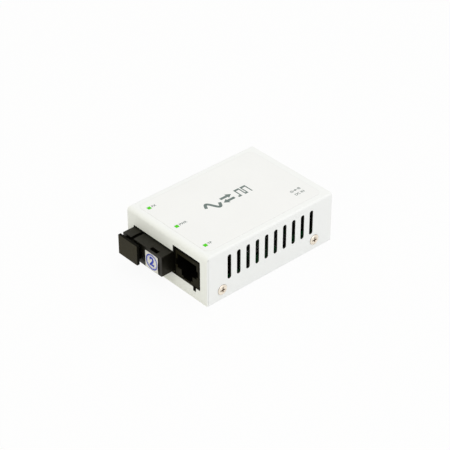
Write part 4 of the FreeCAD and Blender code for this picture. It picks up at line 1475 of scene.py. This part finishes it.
@dataclass
class FibrePort:
    """Transceiver with its keyed port, and the side sticker on its blank half."""

    sheet: float = 0.07 * MM
    corner: float = 0.25 * MM
    lift: float = 0.42 * MM
    lifted_share: float = 0.22
    wave: float = 0.35
    wave_turns: float = 1.1
    wave_start: float = 0.1
    ring_outer: float = 3.75 * MM
    ring_width: float = 0.58 * MM
    second_ring: float = 2.98 * MM
    second_width: float = 0.14 * MM
    number_height: float = 3.9 * MM
    number_weight: float = 0.05
    ink_depth: float = 0.006 * MM
    ink_lift: float = 0.012 * MM

    def build(self) -> List[Piece]:
        """Dress the transceiver and put its sticker on.

        Returns:
            The sticker and its print.
        """
        dress(("fibre_housing", "fibre_module_base"), HOUSING)
        dress(("fibre_port_insert",), INSERT)
        dress(("ferrule_sleeve",), CERAMIC)
        dress(("optical_subassembly",), SPRING)
        low, high = box_mm("fibre_module_board")
        dress(("fibre_module_board",), SolderMask(
            "module_solder_mask", "board_green", tone(20, 84, 52), 0.35,
            run_pitch=0.7, run_width=0.22, low=low.z, high=high.z))
        dress(("fibre_module_pins",), TIN)
        self.low, self.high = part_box("end_sticker")
        self.width, self.height = self.high.x - self.low.x, self.high.z - self.low.z
        low, high = box_mm("end_sticker")
        sticker = piece("lane_sticker", self._paper(), StickerPaper(
            "coated_sticker_paper", "sticker_paper", tone(226, 224, 219), 0.55,
            low=(low.x, low.z), high=(high.x, high.z)))
        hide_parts("end_sticker")
        return [sticker, piece("lane_sticker_print", self._print(), BLUE_INK)]

    def _curl(self, shape: Shape, proud: float) -> Shape:
        """Stand a flat sheet up on the face, with its right edge lifting off.

        Args:
            shape: sheet in the XY plane round the origin.
            proud: how far it lies over the paper's back.

        Returns:
            The same bmesh in place.
        """
        centre = (self.low + self.high) / 2
        for vert in shape.verts:
            across, up, out = vert.co.x / self.width + 0.5, vert.co.y / self.height, vert.co.z
            lifted = max(0.0, across - 1.0 + self.lifted_share) / self.lifted_share
            turn = 2 * math.pi * self.wave_turns * (up + self.wave_start)
            wave = (1.0 + self.wave * math.cos(turn)) / (1.0 + self.wave)
            rise = self.lift * lifted * lifted * wave
            vert.co = (centre.x + vert.co.x, self.high.y - proud - out - rise,
                       centre.z + vert.co.y)
        return close_up(shape)

    def _paper(self) -> Shape:
        """The paper with rounded corners.

        Returns:
            The paper as a closed solid.
        """
        shape = grid(columns=28, rows=12, width=self.width, height=self.height)
        corners = [vert for vert in shape.verts if len(vert.link_edges) == 2]
        bmesh.ops.bevel(shape, geom=corners, offset=self.corner, affect="VERTICES", segments=3,
                        profile=0.5, material=-1)
        return self._curl(thicken(shape, self.sheet), self.sheet)

    def _print(self) -> Shape:
        """Two rings round a plain number.

        Returns:
            The print as a thin closed layer on the paper.
        """
        marks = [ring(self.ring_outer, self.ring_outer - self.ring_width, steps=64),
                 ring(self.second_ring, self.second_ring - self.second_width, steps=64),
                 lettering("2", self.number_height, self.number_weight)]
        return self._curl(thicken(joined(marks), self.ink_depth), self.sheet + self.ink_lift)


@dataclass
class DustPlug:
    """Dust plug of the fibre port."""

    def build(self) -> List[Piece]:
        """Dress the plug.

        Returns:
            No pieces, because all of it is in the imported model.
        """
        # painted shade on the plug's top, sides and back; its front face keeps its own tone
        dress(("dust_plug",), ShadedFacePlastic(
            "soft_black_plug_plastic", "plug_plastic", tone(44, 41, 31), 0.55, shine=0.09,
            face=box_mm("dust_plug")[0].y))
        return []


@dataclass
class CopperPort:
    """Copper jack with its contacts and the isolation transformer behind it."""

    shaded_start: float = 0.9
    shaded_edge: float = 0.75
    shaded_crown: float = 1.15
    mark_inset: float = 1.2
    mark_radius: float = 0.5

    def build(self) -> List[Piece]:
        """Dress the jack, its contacts and the transformer.

        Returns:
            No pieces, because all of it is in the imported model.
        """
        low, high = box_mm("copper_jack_housing")
        # painted shade on the jack's sides and round its face: the module's shadow at the left,
        # shade in the gap at the right, the sheet's shadow along the top
        dress(("copper_jack_housing", "jack_contact_carrier"), ShadedFacePlastic(
            "olive_black_socket_plastic", "black_plastic", tone(31, 29, 19), 0.5, shine=0.04,
            face=low.y, start=low.x + self.shaded_start, edge=high.x - self.shaded_edge,
            crown=high.z - self.shaded_crown))
        dress(CONTACTS, GOLD)
        low, high = box_mm("isolation_transformer")
        dress(("isolation_transformer",), ChipEpoxy(
            "transformer_epoxy", "chip_epoxy", tone(28, 28, 30), 0.55,
            mark=(low.x + self.mark_inset, low.y + self.mark_inset),
            mark_radius=self.mark_radius, top=high.z))
        dress(("transformer_leads",), TIN)
        return []


@dataclass
class Board:
    """Circuit board with its parts, solder and printed outlines."""

    chips: Tuple[str, ...] = ("converter_chip", "voltage_regulator", "power_choke")
    mark_inset: float = 1.3
    capacitors: int = 2
    lamps: int = 3
    soldered: Tuple[str, ...] = ("fibre_module_pins", "dc_solder_tags") + CONTACTS
    fillet: float = 0.62 * MM
    fillet_height: float = 0.75 * MM
    cone: Tuple[Point, ...] = ((0.0, 0.0), (1.0, 0.0), (0.93, 0.14), (0.62, 0.38), (0.45, 0.72),
                               (0.0, 1.0))
    cone_sides: int = 14
    outlined: Tuple[str, ...] = ("isolation_transformer", "converter_chip", "clock_crystal",
                                 "voltage_regulator", "power_choke")
    outline: float = 0.18 * MM
    outline_gap: float = 0.45 * MM
    outline_depth: float = 0.02 * MM

    def build(self) -> List[Piece]:
        """Dress the board and what stands on it, and add solder and outlines.

        Returns:
            The solder and the outlines.
        """
        low, high = box_mm("circuit_board")
        dress(("circuit_board",), SolderMask(
            "green_solder_mask", "board_green", tone(26, 112, 58), 0.35, low=low.z, high=high.z))
        dress(("board_standoffs", "board_screws"), DULL_NICKEL)
        dress(("chip_leads", "regulator_leads"), TIN)
        dress(("clock_crystal",), SPRING)
        dress(("light_guide",), ACRYLIC)
        dress(numbered("link_led", self.lamps), LampBody(
            "lamp_bodies", "led_body", tone(232, 230, 220), 0.45, low=high.z))
        for name in self.chips:
            self._dress_chip(name)
        for name in numbered("smoothing_capacitor", self.capacitors):
            self._dress_capacitor(name)
        under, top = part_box("circuit_board")
        return [piece("solder_joints", self._solder(under.z), TIN),
                piece("board_outlines", self._outlines(top.z), WHITE_INK)]

    def _dress_chip(self, name: str) -> None:
        """Dress a moulded body, with its pin mark in a corner of its top."""
        low, high = box_mm(name)
        dress((name,), ChipEpoxy(f"{name}_epoxy", "chip_epoxy", tone(34, 34, 36), 0.6,
                                 mark=(low.x + self.mark_inset, low.y + self.mark_inset),
                                 top=high.z))

    @staticmethod
    def _dress_capacitor(name: str) -> None:
        """Dress a capacitor, with its stripe on the +X side."""
        low, high = box_mm(name)
        dress((name,), CapacitorSleeve(f"{name}_sleeve", "capacitor_sleeve", tone(24, 26, 34), 0.4,
                                       centre=((low.x + high.x) / 2, (low.y + high.y) / 2),
                                       radius=(high.x - low.x) / 2, top=high.z))

    def _solder(self, under: float) -> Shape:
        """Cone of solder round each pin.

        Args:
            under: height of the board's lower side.

        Returns:
            All the cones.
        """
        profile = [(share * self.fillet, -drop * self.fillet_height) for share, drop in self.cone]
        return joined([moved(spun(profile, self.cone_sides), foot.x, foot.y, under)
                       for name in self.soldered for foot in feet(name)])

    def _outlines(self, top: float) -> Shape:
        """Printed frame round each part on the board.

        Args:
            top: height of the board's upper side.

        Returns:
            The frames as a thin layer.
        """
        frames = []
        for name in self.outlined:
            low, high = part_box(name)
            shape = bar(*(side + 2 * self.outline_gap for side in (high - low).xy))
            grown = bmesh.ops.inset_region(shape, faces=shape.faces[:], thickness=self.outline,
                                           use_boundary=True, use_even_offset=True)
            rim = set(grown["faces"])
            bmesh.ops.delete(shape, geom=[face for face in shape.faces if face not in rim],
                             context="FACES")
            frames.append(moved(shape, *middle(name).xy))
        return moved(thicken(joined(frames), self.outline_depth), z=top + self.outline_depth)


@dataclass
class PowerInlet:
    """Power inlet at the rear."""

    def build(self) -> List[Piece]:
        """Dress the inlet and its contacts.

        Returns:
            No pieces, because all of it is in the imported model.
        """
        dress(("dc_jack_housing",), HOUSING)
        dress(("dc_centre_pin", "dc_spring_contact"), SPRING)
        dress(("dc_solder_tags",), TIN)
        return []


# --- studio -------------------------------------------------------------------------------
@dataclass(frozen=True)
class Lamp:
    """A square soft lamp that looks at the part."""

    name: str
    place: Triple
    size: float
    power: float
    colour: Triple = WHITE[:3]

    def build(self) -> None:
        """Make the lamp."""
        data = bpy.data.lights.new(self.name, "AREA")
        data.shape, data.size = "SQUARE", self.size
        data.energy, data.color = self.power, self.colour
        lamp = placed(self.name, data)
        lamp.location = self.place
        lamp.rotation_euler = (-Vector(self.place)).to_track_quat("-Z", "Y").to_euler()


@dataclass
class Studio:
    """Pale floor, white surroundings, soft lamps and the camera."""

    floor_size: float = 6.0
    floor_drop: float = 0.02 * MM
    floor_colour: Colour = (0.80, 0.80, 0.79, 1.0)
    floor_white: float = 0.93
    sky_level: float = 0.84
    sky_colour: Colour = (1.0, 1.0, 0.99, 1.0)
    camera_place: Triple = (0.403438, -0.364060, 0.393782)
    camera_turn: Triple = (0.957100, 0.001018, 0.840006)
    lens: float = 126.2
    sensor: float = 36.0
    clip: Point = (0.05, 20.0)
    lamps: Tuple[Lamp, ...] = (
        Lamp("top_lamp", (0.15, 0.25, 1.1), 0.9, 2.0),
        Lamp("right_lamp", (1.1, 0.1, 0.45), 0.7, 1.75, (0.99, 1.0, 1.10)),
        Lamp("front_lamp", (0.1, -1.2, 0.5), 0.8, 1.5, (1.0, 0.97, 0.28)))

    def build(self) -> None:
        """Make everything round the part."""
        self._floor()
        self._surroundings()
        for lamp in self.lamps:
            lamp.build()
        self._camera()
        bpy.context.scene.view_settings.view_transform = "Standard"

    def _floor(self) -> None:
        """Make the floor, which keeps the part's shadow."""
        mesh = meshed("floor", moved(bar(self.floor_size, self.floor_size), z=-self.floor_drop))
        shader = Shader(bpy.data.materials.new("pale_floor"))
        plain = shader.node("ShaderNodeBsdfDiffuse", inputs={"Color": self.floor_colour})
        white = shader.node("ShaderNodeEmission", inputs={"Color": WHITE, "Strength": 1.0})
        share = shader.seen() * self.floor_white
        both = shader.node("ShaderNodeMixShader", inputs={0: share, 1: plain, 2: white})
        mesh.materials.append(shader.close("ShaderNodeOutputMaterial", both))
        placed("floor", mesh)

    def _surroundings(self) -> None:
        """Light the part evenly from all round, with white where the surroundings are seen."""
        world = bpy.data.worlds.new("surroundings")
        shader = Shader(world)
        light, white = (
            shader.node("ShaderNodeBackground", inputs={"Color": colour, "Strength": level})
            for colour, level in ((self.sky_colour, self.sky_level), (WHITE, 1.0)))
        both = shader.node("ShaderNodeMixShader", inputs={0: shader.seen(), 1: light, 2: white})
        bpy.context.scene.world = shader.close("ShaderNodeOutputWorld", both)

    def _camera(self) -> None:
        """Make the camera and use it."""
        data = bpy.data.cameras.new("camera")
        data.lens, data.sensor_width = self.lens, self.sensor
        data.clip_start, data.clip_end = self.clip
        camera = placed("camera", data)
        camera.location, camera.rotation_euler = self.camera_place, self.camera_turn
        bpy.context.scene.camera = camera


def main() -> None:
    """Build the studio and every sub-assembly, and log how many faces each made piece has."""
    logging.basicConfig(level=logging.INFO, format="%(name)s: %(message)s")
    Studio().build()
    for assembly in (Case(), TopLabel(), FibrePort(), DustPlug(), CopperPort(), Board(),
                     PowerInlet()):
        for made in assembly.build():
            LOG.info("%s: %d faces", made.name, len(made.data.polygons))


if __name__ == "__main__":
    main()
